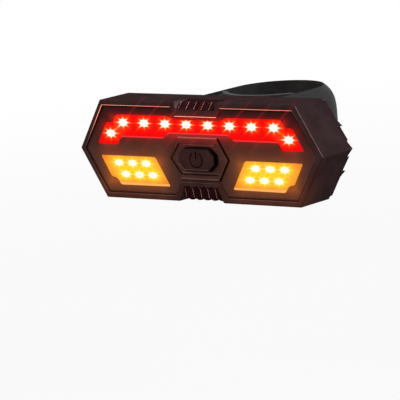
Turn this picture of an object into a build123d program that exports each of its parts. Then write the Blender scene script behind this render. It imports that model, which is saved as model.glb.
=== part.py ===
from build123d import *
from math import hypot, radians, tan
import os

# Bicycle turn signal light: a long hexagonal lamp with a stepped red light bar, two
# amber signal windows and a power button. It slides on to a bracket that a rubber
# strap holds to a seat post.
#
# Millimetres. The origin is on the post's axis at the lamp's mid-height. +Z runs up
# the post, the lamp faces -Y, and +X is to the right when the lamp is looked at.
# A "depth" is a distance behind the front plane of the lamp's rim.

# One overrun for every cut
OVERRUN = 1.0

# Seat post, rubber pad and strap
POST_RADIUS = 15.45
PAD_THICKNESS = 2.0
GRIP_HALF_HEIGHT = 14.0
PAD_END = 9.5
STRAP_EDGE = 2.6
STRAP_CROWN = 3.65
STRAP_BEVEL = 2.0
STRAP_FLAT_HALF = 6.0
STRAP_LIP = 0.5
STRAP_LEG = 22.0
STRAP_END_CUT = 3.0
LADDER_COUNT = 2
LADDER_PITCH = 7.0
SLOT_LENGTH = 4.0
SLOT_HALF_HEIGHT = 4.5

# Bracket and its rail slot
BRACKET_HALF_HEIGHT = 13.0
SADDLE_WALL = 3.0
BRACKET_WING_END = 10.5
BRACKET_CORNER = 3.2
RAIL_LIP = 1.5
RAIL_HEAD_DEPTH = 2.2
RAIL_HEAD_HALF = 8.0
RAIL_NECK_HALF = 5.0
RAIL_HALF_LENGTH = 10.0
RAIL_LEAD = 1.0
RAIL_CLEARANCE = 0.15
LAMP_GAP = 0.5
HOOK_DISTANCE = 17.0
HOOK_PLAY = 0.25
HOOK_LIP = 1.4
HOOK_LIP_THICKNESS = 1.3

# Lamp housing
LAMP_WIDTH = 96.0
LAMP_HEIGHT = 31.6
POINT_LENGTH = 9.4
BEZEL_DEPTH = 14.5
COVER_DEPTH = 3.5
WALL = 1.8
EDGE_BREAK = 0.4

# Front panel, and the ledge and lens flanges behind it
PANEL_RECESS = 0.5
PANEL_THICKNESS = 1.6
PANEL_GAP = 0.12
LEDGE_WIDTH = 1.0
LEDGE_THICKNESS = 0.8
LENS_FLANGE = 0.8
LENS_GAP = 0.05
LENS_RECESS = 0.1
LENS_CORNER = 0.45
BAFFLE_THICKNESS = 2.3
INNER_GAP = 0.3

# Ribbed grips in the middle of the rim, above and below
TOP_TAB_HALF = 8.4
TOP_TAB_FLARE = 1.6
TOP_LIP = 2.3
TOP_POCKET_HALF = 7.8
TOP_POCKET_FLARE = 0.3
TOP_SLOPE_START = 0.4
TOP_SLOPE_END = 2.6
BOTTOM_TAB_HALF = 7.8
BOTTOM_TAB_FLARE = 2.8
BOTTOM_LIP = 1.2
BOTTOM_POCKET_HALF = 6.5
BOTTOM_POCKET_FLARE = 2.65
BOTTOM_SLOPE_START = 0.9
BOTTOM_SLOPE_END = 3.0
BOTTOM_BEND = 1.0
TAB_DEPTH = 8.2
POCKET_LENGTH = 6.6
BAR_COUNT = 5
BAR_PITCH = 3.0
BAR_WIDTH = 2.1
BAR_RECESS = 0.3
GROOVE_DEPTH = 0.6

# Power button and the hexagonal boss round it
BOSS_HALF_FLAT = 7.9
BOSS_HALF_WIDTH = 12.0
BOSS_RISE = 0.6
BOSS_BREAK = 0.3
DISH_HALF_FLAT = 7.4
DISH_HALF_WIDTH = 11.0
DISH_DEPTH = 0.5
BUTTON_HALF_WIDTH = 7.3
BUTTON_CUT_WIDTH = 2.55
BUTTON_PROUD = 1.2
BUTTON_BREAK = 0.35
BUTTON_GAP = 0.15
BUTTON_FLANGE = 0.9
BUTTON_FLANGE_THICKNESS = 0.7
BUTTON_REST_GAP = 0.05
BUTTON_TRAVEL = 0.5
SYMBOL_RADIUS = 2.4
SYMBOL_LINE = 0.45
SYMBOL_DEPTH = 0.2
SYMBOL_OPENING = 70.0
SYMBOL_BAR_TOP = 2.6
SYMBOL_BAR_BOTTOM = 0.2

# Circuit board and what is soldered to it
BOARD_THICKNESS = 1.2
LED_WIDTH = 3.2
LED_HEIGHT = 2.6
LED_BASE = 0.8
LED_TOP = 0.5
LED_TOP_MARGIN = 0.4
RED_ROW_COUNT = 8
AMBER_COLUMNS = 3
SWITCH_WIDTH = 6.0
SWITCH_HEIGHT = 4.0
SWITCH_THICKNESS = 1.3
STEM_RADIUS = 1.1
STEM_GAP = 0.05
STEM_ENGAGEMENT = 0.5
STEM_END_GAP = 0.1
CHIP_HEIGHT = 1.7
CHIP_CLEARANCE = 0.5
ANTENNA_THICKNESS = 0.3
ANTENNA_LINE = 0.6
ANTENNA_PITCH = 1.4
ANTENNA_TURNS = 6
ANTENNA_HALF_HEIGHT = 3.0

# Screws and their bosses
CASE_BOSS_RADIUS = 3.2
CASE_BOSS_INSET = 1.8
CASE_BOSS_DROP = 5.0
CASE_SCREW_RADIUS = 0.95
CASE_SCREW_FLOOR = 1.6
CASE_HEAD_RADIUS = 1.8
CASE_HEAD_HEIGHT = 1.3
CASE_HEAD_SINK = 1.7
BOARD_BOSS_CLEARANCE = 0.5
BOARD_SCREW_RADIUS = 0.7
BOARD_SCREW_BITE = 1.9
BOARD_HEAD_RADIUS = 1.5
BOARD_HEAD_HEIGHT = 0.9
SCREW_CLEARANCE = 0.05
DRIVE_RADIUS = 0.8
DRIVE_DEPTH = 0.6

# Charging port and its hinged rubber cover
USB_WIDTH = 8.94
USB_THICKNESS = 3.26
USB_LENGTH = 7.3
USB_SHELL = 0.3
USB_TONGUE_WIDTH = 6.7
USB_TONGUE_THICKNESS = 0.7
USB_BACK = 1.2
PORT_WIDTH = 10.2
PORT_DEPTH = 4.4
FLAP_WIDTH = 13.6
FLAP_REACH = 3.7
FLAP_THICKNESS = 1.3
FLAP_GAP = 0.2
FLAP_LIFT = 0.1
HINGE_INSET = 2.57
BARREL_RADIUS = 0.85
BARREL_GAP = 0.15
TRUNNION_RADIUS = 0.5
TRUNNION_LENGTH = 1.1
TRUNNION_CLEARANCE = 0.07
PLUG_WIDTH = 9.2
PLUG_DEPTH = 3.4
PLUG_HEIGHT = 0.4
NAIL_NOTCH_HALF = 3.0
NAIL_NOTCH_DEPTH = 0.9
PORT_FLOOR = 1.5
PORT_BOSS_DISTANCE = 9.92
PORT_PAD_MARGIN = 1.6

# Battery, its foam pad, plug and leads
BATTERY_SIDE_GAP = 1.9
BATTERY_CAP = 2.6
BATTERY_END_GAP = 2.6
BATTERY_PORT_GAP = 8.5
FOAM_THICKNESS = 1.0
FOAM_INSET = 2.0
LEAD_PLUG_WIDTH = 4.6
LEAD_PLUG_HEIGHT = 5.0
LEAD_PLUG_MARGIN = 0.8
LEAD_RADIUS = 0.5
LEAD_SPREAD = 1.4

# Rear cover, its grip teeth and the seal
COVER_INSET = 0.7
COVER_PLATE = 2.0
COVER_STEP = 1.0
COVER_BEVEL = 0.8
REGISTER_WALL = 1.1
REGISTER_LENGTH = 1.8
REGISTER_GAP = 0.2
SEAL_WIDTH = 0.8
SEAL_THICKNESS = 1.0
SEAL_GAP = 0.05

# Sizes and places that follow from those
HALF_WIDTH = LAMP_WIDTH / 2
HALF_HEIGHT = LAMP_HEIGHT / 2
CORNER_X = HALF_WIDTH - POINT_LENGTH
FACET_LENGTH = hypot(POINT_LENGTH, HALF_HEIGHT)
FACET_NORMAL_X = HALF_HEIGHT / FACET_LENGTH
FACET_NORMAL_Z = POINT_LENGTH / FACET_LENGTH
RIM_EDGE_Z = HALF_HEIGHT - WALL

PAD_RADIUS = POST_RADIUS + PAD_THICKNESS
SLOT_BACK_Y = -(PAD_RADIUS + SADDLE_WALL)
SLOT_FRONT_Y = SLOT_BACK_Y - RAIL_HEAD_DEPTH - 2 * RAIL_CLEARANCE
BRACKET_FRONT_Y = SLOT_FRONT_Y - RAIL_LIP
FRONT_Y = BRACKET_FRONT_Y - LAMP_GAP - COVER_DEPTH - BEZEL_DEPTH

PANEL_BACK = PANEL_RECESS + PANEL_THICKNESS
LEDGE_BACK = PANEL_BACK + LEDGE_THICKNESS
BOARD_FRONT = LEDGE_BACK + BAFFLE_THICKNESS
BOARD_BACK = BOARD_FRONT + BOARD_THICKNESS
COVER_FRONT = BEZEL_DEPTH
COVER_BACK = BEZEL_DEPTH + COVER_DEPTH
COVER_INSIDE = COVER_BACK - COVER_PLATE
FOAM_FRONT = COVER_INSIDE - FOAM_THICKNESS
REGISTER_INSET = WALL + REGISTER_GAP
REGISTER_FRONT = COVER_FRONT - REGISTER_LENGTH

battery_edge_share = 0.344
battery_cap_share = 0.25
BATTERY_FRONT = BOARD_BACK + CHIP_HEIGHT + CHIP_CLEARANCE
BATTERY_THICKNESS = FOAM_FRONT - BATTERY_FRONT
BATTERY_HALF_HEIGHT = HALF_HEIGHT - REGISTER_INSET - REGISTER_WALL - BATTERY_SIDE_GAP
BATTERY_EDGE = battery_edge_share * BATTERY_THICKNESS
BATTERY_CAP_THICKNESS = battery_cap_share * BATTERY_THICKNESS

CASE_BOSS_X = CORNER_X - CASE_BOSS_INSET
CASE_BOSS_Z = HALF_HEIGHT - CASE_BOSS_DROP
CASE_BOSSES = [(x, z) for x in (-CASE_BOSS_X, CASE_BOSS_X) for z in (-CASE_BOSS_Z, CASE_BOSS_Z)]
CASE_BOSS_FRONT = BOARD_BACK + INNER_GAP
CASE_SCREW_TIP = CASE_BOSS_FRONT + CASE_SCREW_FLOOR

# Heights of the rim's tabs, the boss and the button as shares of half the lamp's height
top_tab_reach_share = 0.1835
bottom_tab_reach_share = 0.288
button_drop_share = 0.133
boss_height_share = 0.4335
dish_height_share = 0.307
button_height_share = 0.231
button_cut_share = 0.139

TOP_TAB_REACH = top_tab_reach_share * HALF_HEIGHT
BOTTOM_TAB_REACH = bottom_tab_reach_share * HALF_HEIGHT
BUTTON_DROP = button_drop_share * HALF_HEIGHT
BOSS_HALF_HEIGHT = boss_height_share * HALF_HEIGHT
DISH_HALF_HEIGHT = dish_height_share * HALF_HEIGHT
BUTTON_HALF_HEIGHT = button_height_share * HALF_HEIGHT
BUTTON_CUT_HEIGHT = button_cut_share * HALF_HEIGHT

# Outlines of the windows, and places on the board, as shares of half the lamp's
# width and half its height
red_window_shares = [
    (0.0, 0.640), (0.190, 0.640), (0.242, 0.709), (0.679, 0.709), (0.719, 0.544),
    (0.771, 0.544), (0.852, 0.098), (0.677, 0.092), (0.650, 0.247), (0.290, 0.247),
    (0.248, 0.351), (0.0, 0.351),
]
amber_window_shares = [
    (0.836, -0.136), (0.369, -0.134), (0.258, -0.724), (0.679, -0.733),
    (0.713, -0.592), (0.756, -0.572),
]
red_row_pitch_share = 0.1776
red_row_height_share = 0.544
red_end_shares = (0.735, 0.316)
amber_row_shares = [(0.453, -0.277), (0.401, -0.513)]
amber_pitch_share = 0.116
board_screw_shares = [(0.317, 0.054), (0.615, 0.054)]
window_gap_share = 0.381
# Grip teeth up one end facet: height, and inset from the housing's outline
grip_tooth_shares = [(0.0, 0.9), (0.16, 1.9), (0.16, 0.9), (0.44, 1.15), (0.44, -0.15), (0.57, 1.0)]
# Chips on the board's back: place, then size over the chip height
chip_place_shares = [(-0.10, 0.25), (0.20, -0.28), (0.46, 0.18)]
chip_size_shares = [(4.5, 2.4), (3.4, 3.4), (2.0, 1.8)]

BOARD_BOSS_RADIUS = window_gap_share * HALF_HEIGHT / 2 - LENS_FLANGE - BOARD_BOSS_CLEARANCE
PORT_X = PORT_BOSS_DISTANCE - CASE_BOSS_X
PORT_CENTRE = BOARD_BACK + USB_THICKNESS / 2
PORT_FLOOR_Z = -HALF_HEIGHT + FLAP_THICKNESS + FLAP_LIFT
PORT_PAD_Z = PORT_FLOOR_Z + PORT_FLOOR
HINGE_DEPTH = BEZEL_DEPTH - HINGE_INSET
HINGE_Z = -HALF_HEIGHT + BARREL_RADIUS
USB_MOUTH_Z = -HALF_HEIGHT + FLAP_THICKNESS + PLUG_HEIGHT + FLAP_GAP
BATTERY_LEFT = PORT_X + USB_WIDTH / 2 + BATTERY_PORT_GAP
BATTERY_RIGHT = CASE_BOSS_X - CASE_BOSS_RADIUS - BATTERY_END_GAP


def depth_plane(depth):
    """Plane facing forward at a depth; a sketch on it is given in x and z."""
    return Plane.XZ.offset(-(FRONT_Y + depth))


def slab(outline, front, back):
    """Outline extruded from one depth to another."""
    return extrude(depth_plane(back) * outline, back - front, dir=(0, -1, 0))


def across(points, left, right):
    """Outline of depths and heights, extruded across the lamp."""
    outline = make_face(Polyline(*[(FRONT_Y + depth, z) for depth, z in points], close=True))
    return extrude(Plane.YZ.offset(left) * outline, right - left, dir=(1, 0, 0))


def pin(x, z, radius, front, back):
    """Round bar along the lamp's depth."""
    return slab(Pos(x, z) * Circle(radius), front, back)


def discs(places, radius):
    """Outline of one disc at each place."""
    return Sketch() + [Pos(x, z) * Circle(radius) for x, z in places]


def pins(places, radius, front, back):
    """One round bar at each place, as a single shape."""
    return slab(discs(places, radius), front, back)


def column(outline, low, high):
    """Plan outline extruded up from one height to another."""
    return extrude(Plane.XY.offset(low) * outline, high - low, dir=(0, 0, 1))


def block(x0, x1, y0, y1, z0, z1):
    """Box between two corners."""
    return Pos((x0 + x1) / 2, (y0 + y1) / 2, (z0 + z1) / 2) * Box(x1 - x0, y1 - y0, z1 - z0)


def both_sides(shape):
    """A shape with its mirror image across the lamp's middle."""
    return shape + mirror(shape, about=Plane.YZ)


def grown(outline, amount):
    """Outline offset outwards with sharp corners, or inwards where negative."""
    return offset(outline, amount, kind=Kind.INTERSECTION)


def hexagon(inset):
    """Housing's outline, inset evenly."""
    points = [(HALF_WIDTH, 0), (CORNER_X, HALF_HEIGHT), (-CORNER_X, HALF_HEIGHT),
              (-HALF_WIDTH, 0), (-CORNER_X, -HALF_HEIGHT), (CORNER_X, -HALF_HEIGHT)]
    outline = Polygon(*points)
    return grown(outline, -inset) if inset else outline


def scaled(shares):
    """Points at shares of half the lamp's width and height."""
    return [(x * HALF_WIDTH, z * HALF_HEIGHT) for x, z in shares]


def trapezoid(side, near, half, flare, far):
    """Symmetrical outline above or below the middle, wider by the flare at the far end."""
    points = [(-half, near), (-half - flare, far), (half + flare, far), (half, near)]
    return make_face(Polyline(*[(x, side * z) for x, z in points], close=True))


def tab_outline(side):
    """Part of the rim that reaches over the panel, above or below."""
    half, flare, reach = ((TOP_TAB_HALF, TOP_TAB_FLARE, TOP_TAB_REACH) if side > 0
                          else (BOTTOM_TAB_HALF, BOTTOM_TAB_FLARE, BOTTOM_TAB_REACH))
    wide = half + flare
    points = [(-half, RIM_EDGE_Z - reach), (-wide, RIM_EDGE_Z), (-wide, HALF_HEIGHT),
              (wide, HALF_HEIGHT), (wide, RIM_EDGE_Z), (half, RIM_EDGE_Z - reach)]
    return make_face(Polyline(*[(x, side * z) for x, z in points], close=True))


def panel_outline():
    """Front panel's outline, notched above and below by the rim's tabs."""
    return hexagon(WALL) - tab_outline(1) - tab_outline(-1)


def cut_cornered(points, growth):
    """Window outline through some points, grown evenly, with its corners cut."""
    outline = make_face(Polyline(*points, close=True))
    if growth:
        outline = grown(outline, growth)
    return chamfer(outline.vertices(), LENS_CORNER)


def red_window(growth=0):
    """Stepped outline of the red bar."""
    half = scaled(red_window_shares)
    return cut_cornered(half + [(-x, z) for x, z in reversed(half[1:-1])], growth)


def left_window(growth=0):
    """Notched outline of the left amber window."""
    return cut_cornered([(-x, z) for x, z in scaled(amber_window_shares)], growth)


def right_window(growth=0):
    """Notched outline of the right amber window."""
    return cut_cornered(scaled(amber_window_shares), growth)


WINDOWS = (red_window, left_window, right_window)


def long_hexagon(half_width, half_flat, half_height):
    """Pointed hexagon round the power button."""
    points = [(half_width, 0), (half_flat, half_height), (-half_flat, half_height),
              (-half_width, 0), (-half_flat, -half_height), (half_flat, -half_height)]
    return Pos(0, -BUTTON_DROP) * Polygon(*points)


def button_outline(growth):
    """Octagonal outline of the button, grown evenly."""
    w, h = BUTTON_HALF_WIDTH, BUTTON_HALF_HEIGHT
    u, v = w - BUTTON_CUT_WIDTH, h - BUTTON_CUT_HEIGHT
    points = [(w, v), (u, h), (-u, h), (-w, v), (-w, -v), (-u, -h), (u, -h), (w, -v)]
    outline = Pos(0, -BUTTON_DROP) * Polygon(*points)
    return grown(outline, growth) if growth else outline


def board_screw_places():
    """Where the board is screwed to the panel."""
    return [(side * x, z) for x, z in scaled(board_screw_shares) for side in (-1, 1)]


def top_pocket_points(sink):
    """Side view of what is cut away above the upper bars, sunk by a groove's depth."""
    floor = HALF_HEIGHT - BAR_RECESS - sink
    lip = RIM_EDGE_Z - TOP_TAB_REACH + TOP_LIP
    return [(-OVERRUN, lip), (TOP_SLOPE_START + sink, lip), (TOP_SLOPE_END + sink, floor),
            (POCKET_LENGTH, floor), (POCKET_LENGTH, HALF_HEIGHT + OVERRUN),
            (-OVERRUN, HALF_HEIGHT + OVERRUN)]


def bottom_pocket_points(sink):
    """Side view of what is cut away below the lower bars, sunk by a groove's depth."""
    floor = -HALF_HEIGHT + BAR_RECESS + sink
    lip = -(RIM_EDGE_Z - BOTTOM_TAB_REACH + BOTTOM_LIP)
    return [(-OVERRUN, lip + OVERRUN), (0, lip), (BOTTOM_SLOPE_START + sink, lip - BOTTOM_BEND),
            (BOTTOM_SLOPE_START + BOTTOM_BEND / 2 + sink, floor + BOTTOM_BEND),
            (BOTTOM_SLOPE_END, floor), (POCKET_LENGTH, floor),
            (POCKET_LENGTH, -HALF_HEIGHT - OVERRUN), (-OVERRUN, -HALF_HEIGHT - OVERRUN)]


def ribbed_pocket(side):
    """Cut that leaves a row of bars across the rim's tab, above or below."""
    if side > 0:
        points, half, flare = top_pocket_points, TOP_POCKET_HALF, TOP_POCKET_FLARE
        near = RIM_EDGE_Z - TOP_TAB_REACH + TOP_LIP
    else:
        points, half, flare = bottom_pocket_points, BOTTOM_POCKET_HALF, BOTTOM_POCKET_FLARE
        near = RIM_EDGE_Z - BOTTOM_TAB_REACH + BOTTOM_LIP
    mouth = slab(trapezoid(side, near, half, flare, HALF_HEIGHT + OVERRUN), -OVERRUN, POCKET_LENGTH)
    cut = mouth & across(points(0), -half - flare, half + flare)
    groove_half = (BAR_PITCH - BAR_WIDTH) / 2
    for number in range(BAR_COUNT + 1):
        x = (number - BAR_COUNT / 2) * BAR_PITCH
        cut += mouth & across(points(GROOVE_DEPTH), x - groove_half, x + groove_half)
    return cut


def port_pad():
    """Thicker floor inside the housing, round the charging port."""
    half = FLAP_WIDTH / 2 + TRUNNION_LENGTH + PORT_PAD_MARGIN
    y0 = FRONT_Y + PORT_CENTRE - FLAP_REACH - PORT_PAD_MARGIN
    y1 = FRONT_Y + HINGE_DEPTH + BARREL_RADIUS + PORT_PAD_MARGIN / 2
    return block(PORT_X - half, PORT_X + half, y0, y1, -HALF_HEIGHT + WALL / 2, PORT_PAD_Z)


def port_cuts():
    """Recess for the rubber cover, its hinge groove and the way in to the socket."""
    half = FLAP_WIDTH / 2 + FLAP_GAP
    y0 = FRONT_Y + PORT_CENTRE - FLAP_REACH - FLAP_GAP
    hinge_y = FRONT_Y + HINGE_DEPTH
    centre_y = FRONT_Y + PORT_CENTRE
    recess = block(PORT_X - half, PORT_X + half, y0, hinge_y, -HALF_HEIGHT - OVERRUN, PORT_FLOOR_Z)
    groove = cross_pin(BARREL_RADIUS + BARREL_GAP, half)
    mouth = block(PORT_X - half, PORT_X + half, hinge_y, hinge_y + BARREL_RADIUS + BARREL_GAP,
                  -HALF_HEIGHT - OVERRUN, HINGE_Z)
    holes = cross_pin(TRUNNION_RADIUS + TRUNNION_CLEARANCE, FLAP_WIDTH / 2 + TRUNNION_LENGTH + FLAP_GAP)
    way_in = block(PORT_X - PORT_WIDTH / 2, PORT_X + PORT_WIDTH / 2,
                   centre_y - PORT_DEPTH / 2, centre_y + PORT_DEPTH / 2,
                   -HALF_HEIGHT - OVERRUN, PORT_PAD_Z + OVERRUN)
    nail = block(PORT_X - NAIL_NOTCH_HALF, PORT_X + NAIL_NOTCH_HALF, y0 - NAIL_NOTCH_DEPTH, y0,
                 -HALF_HEIGHT - OVERRUN, -HALF_HEIGHT + NAIL_NOTCH_DEPTH)
    return recess + groove + mouth + holes + way_in + nail


def cross_pin(radius, half):
    """Round bar on the port cover's hinge axis."""
    bar = Rotation(0, 90, 0) * Cylinder(radius, 2 * half)
    return Pos(PORT_X, FRONT_Y + HINGE_DEPTH, HINGE_Z) * bar


def front_bezel():
    """Hexagonal housing: rim, ledge behind the panel, ribbed tabs and screw bosses."""
    body = slab(hexagon(0), 0, BEZEL_DEPTH)
    body = chamfer(body.faces().sort_by(Axis.Y)[0].edges(), EDGE_BREAK)
    tabs = tab_outline(1) + tab_outline(-1)
    rebate = grown(panel_outline(), PANEL_GAP) & (hexagon(WALL - PANEL_GAP))
    body -= slab(rebate, -OVERRUN, PANEL_BACK)
    body -= slab(grown(panel_outline(), -LEDGE_WIDTH), 0, LEDGE_BACK + OVERRUN)
    body -= slab(hexagon(WALL) - tabs, LEDGE_BACK, TAB_DEPTH)
    body -= slab(hexagon(WALL), TAB_DEPTH, BEZEL_DEPTH + OVERRUN)
    bosses = discs(CASE_BOSSES, CASE_BOSS_RADIUS) & hexagon(WALL / 2)
    body += slab(bosses, CASE_BOSS_FRONT, BEZEL_DEPTH)
    body += port_pad()
    body -= slab(seal_ring(SEAL_GAP), BEZEL_DEPTH - SEAL_THICKNESS, BEZEL_DEPTH + OVERRUN)
    body -= pins(CASE_BOSSES, CASE_SCREW_RADIUS + SCREW_CLEARANCE,
                 CASE_SCREW_TIP - SCREW_CLEARANCE, BEZEL_DEPTH + OVERRUN)
    return body - ribbed_pocket(1) - ribbed_pocket(-1) - port_cuts()


def front_panel():
    """Dark front panel: windows, raised boss round the button, posts for the board."""
    body = slab(panel_outline(), PANEL_RECESS, PANEL_BACK)
    boss = long_hexagon(BOSS_HALF_WIDTH, BOSS_HALF_FLAT, BOSS_HALF_HEIGHT)
    raised = slab(boss, PANEL_RECESS - BOSS_RISE, PANEL_BACK)
    body += chamfer(raised.faces().sort_by(Axis.Y)[0].edges(), BOSS_BREAK)
    dish = long_hexagon(DISH_HALF_WIDTH, DISH_HALF_FLAT, DISH_HALF_HEIGHT)
    body -= slab(dish, -OVERRUN, PANEL_RECESS - BOSS_RISE + DISH_DEPTH)
    body -= slab(button_outline(BUTTON_GAP), -OVERRUN, PANEL_BACK + OVERRUN)
    for window in WINDOWS:
        body -= slab(window(), -OVERRUN, PANEL_BACK + OVERRUN)
    places = board_screw_places()
    body += pins(places, BOARD_BOSS_RADIUS, PANEL_BACK, BOARD_FRONT)
    return body - pins(places, BOARD_SCREW_RADIUS + SCREW_CLEARANCE,
                       BOARD_FRONT - BOARD_SCREW_BITE - SCREW_CLEARANCE, BOARD_FRONT + OVERRUN)


def lens(window):
    """Clear window that fills its hole in the panel, with a flange behind it."""
    front = slab(window(-LENS_GAP), PANEL_RECESS + LENS_RECESS, PANEL_BACK)
    room = grown(panel_outline(), -LEDGE_WIDTH - LENS_GAP)
    return front + slab(window(LENS_FLANGE) & room, PANEL_BACK, LEDGE_BACK)


def inner_outline(gap):
    """Outline of a plate that passes the ledge, clear of the port's floor."""
    half = FLAP_WIDTH / 2 + TRUNNION_LENGTH + PORT_PAD_MARGIN + gap
    notch = Rectangle(2 * half, 2 * (PORT_PAD_Z + HALF_HEIGHT + gap))
    return grown(panel_outline(), -LEDGE_WIDTH - gap) - Pos(PORT_X, -HALF_HEIGHT) * notch


def light_baffle():
    """Black plate that keeps red and amber light apart."""
    outline = inner_outline(INNER_GAP) - [window() for window in WINDOWS]
    outline -= button_outline(BUTTON_FLANGE + INNER_GAP)
    outline -= discs(board_screw_places(), BOARD_BOSS_RADIUS + SCREW_CLEARANCE)
    return slab(outline, LEDGE_BACK, BOARD_FRONT)


def circuit_board():
    """Board, notched round the rim's tabs and drilled for its screws."""
    outline = inner_outline(INNER_GAP)
    outline -= discs(board_screw_places(), BOARD_SCREW_RADIUS + SCREW_CLEARANCE)
    return slab(outline, BOARD_FRONT, BOARD_BACK)


def led(x, z):
    """Surface-mounted light: a base with a smaller, bevelled top that shines."""
    width, height = LED_WIDTH, LED_HEIGHT
    base = slab(Pos(x, z) * Rectangle(width, height), BOARD_FRONT - LED_BASE, BOARD_FRONT)
    width, height = width - 2 * LED_TOP_MARGIN, height - 2 * LED_TOP_MARGIN
    top = slab(Pos(x, z) * Rectangle(width, height), BOARD_FRONT - LED_BASE - LED_TOP, BOARD_FRONT)
    return base + chamfer(top.faces().sort_by(Axis.Y)[0].edges(), LED_TOP / 2)


def red_leds():
    """Row of lights behind the red bar, and one lower at each end."""
    pitch = red_row_pitch_share * HALF_WIDTH
    z = red_row_height_share * HALF_HEIGHT
    places = [((n - (RED_ROW_COUNT - 1) / 2) * pitch, z) for n in range(RED_ROW_COUNT)]
    end_x, end_z = scaled([red_end_shares])[0]
    places += [(-end_x, end_z), (end_x, end_z)]
    return Compound(children=[led(*place) for place in places])


def amber_leds():
    """Two rows of lights behind each amber window."""
    pitch = amber_pitch_share * HALF_WIDTH
    places = [(side * (x + n * pitch), z) for side in (-1, 1) for x, z in scaled(amber_row_shares)
              for n in range(AMBER_COLUMNS)]
    return Compound(children=[led(*place) for place in places])


def tact_switch():
    """Square switch body under the button, hollow for its stem."""
    body = slab(Pos(0, -BUTTON_DROP) * Rectangle(SWITCH_WIDTH, SWITCH_HEIGHT),
                BOARD_FRONT - SWITCH_THICKNESS, BOARD_FRONT)
    return body - pin(0, -BUTTON_DROP, STEM_RADIUS + STEM_GAP, BOARD_FRONT - SWITCH_THICKNESS - OVERRUN,
                      stem_tip() + BUTTON_TRAVEL + STEM_END_GAP)


def button_back():
    """Depth of the back of the button's flange at rest."""
    return PANEL_BACK + BUTTON_REST_GAP + BUTTON_FLANGE_THICKNESS


def stem_tip():
    """Depth of the stem's tip at rest, just inside the switch."""
    return BOARD_FRONT - SWITCH_THICKNESS + STEM_ENGAGEMENT


def switch_stem():
    """Stem that the button presses in to the switch."""
    return pin(0, -BUTTON_DROP, STEM_RADIUS, button_back(), stem_tip())


def power_symbol():
    """Generic on and off mark: an open ring with a bar through its gap."""
    ring = Circle(SYMBOL_RADIUS + SYMBOL_LINE / 2) - Circle(SYMBOL_RADIUS - SYMBOL_LINE / 2)
    reach = SYMBOL_RADIUS + SYMBOL_LINE
    half_gap = reach * tan(radians(SYMBOL_OPENING / 2))
    ring -= Polygon((0, 0), (half_gap, reach), (-half_gap, reach))
    height = SYMBOL_BAR_TOP - SYMBOL_BAR_BOTTOM
    bar = Pos(0, (SYMBOL_BAR_TOP + SYMBOL_BAR_BOTTOM) / 2) * Rectangle(SYMBOL_LINE, height)
    return Pos(0, -BUTTON_DROP) * (ring + bar)


def power_button():
    """Octagonal push button with a flange that keeps it behind the panel."""
    body = slab(button_outline(0), -BUTTON_PROUD, button_back())
    body = chamfer(body.faces().sort_by(Axis.Y)[0].edges(), BUTTON_BREAK)
    body += slab(button_outline(BUTTON_FLANGE), PANEL_BACK + BUTTON_REST_GAP, button_back())
    return body - slab(power_symbol(), -BUTTON_PROUD - OVERRUN, -BUTTON_PROUD + SYMBOL_DEPTH)


def chips():
    """Packages on the back of the board."""
    parts = []
    for (x, z), (width, height) in zip(scaled(chip_place_shares), chip_size_shares):
        outline = Pos(x, z) * Rectangle(width * CHIP_HEIGHT, height * CHIP_HEIGHT)
        parts.append(slab(outline, BOARD_BACK, BOARD_BACK + CHIP_HEIGHT))
    return Compound(children=parts)


def radio_antenna():
    """Stamped strip that winds to and fro on the back of the board."""
    left = CASE_BOSS_X - ANTENNA_PITCH
    outline = Sketch()
    for turn in range(ANTENNA_TURNS):
        x = left + turn * ANTENNA_PITCH
        side = 1 if turn % 2 else -1
        outline += Pos(x, 0) * Rectangle(ANTENNA_LINE, 2 * ANTENNA_HALF_HEIGHT)
        if turn < ANTENNA_TURNS - 1:
            outline += Pos(x + ANTENNA_PITCH / 2, side * (ANTENNA_HALF_HEIGHT - ANTENNA_LINE / 2)) * Rectangle(
                ANTENNA_PITCH + ANTENNA_LINE, ANTENNA_LINE)
    return slab(outline, BOARD_BACK, BOARD_BACK + ANTENNA_THICKNESS)


def usb_socket():
    """Charging socket: a rounded steel shell with a tongue in it, mouth down."""
    profile = Rectangle(USB_WIDTH, USB_THICKNESS)
    profile = fillet(profile.vertices(), USB_THICKNESS / 3)
    place = Plane((PORT_X, FRONT_Y + PORT_CENTRE, USB_MOUTH_Z), x_dir=(1, 0, 0), z_dir=(0, 0, 1))
    body = extrude(place * profile, USB_LENGTH)
    hollow = place * offset(profile, -USB_SHELL)
    body -= extrude(hollow, USB_LENGTH - USB_BACK)
    tongue = place * Rectangle(USB_TONGUE_WIDTH, USB_TONGUE_THICKNESS)
    return body + (extrude(tongue, USB_LENGTH) - extrude(tongue, USB_BACK))


def port_cover():
    """Rubber cover that swings on two stub pins at its rear edge."""
    half = FLAP_WIDTH / 2
    y0 = FRONT_Y + PORT_CENTRE - FLAP_REACH
    centre_y = FRONT_Y + PORT_CENTRE
    top = -HALF_HEIGHT + FLAP_THICKNESS
    plate = block(PORT_X - half, PORT_X + half, y0, FRONT_Y + HINGE_DEPTH, -HALF_HEIGHT, top)
    plug = block(PORT_X - PLUG_WIDTH / 2, PORT_X + PLUG_WIDTH / 2, centre_y - PLUG_DEPTH / 2,
                 centre_y + PLUG_DEPTH / 2, top, top + PLUG_HEIGHT)
    return plate + plug + cross_pin(BARREL_RADIUS, half) + cross_pin(TRUNNION_RADIUS, half + TRUNNION_LENGTH)


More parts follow.
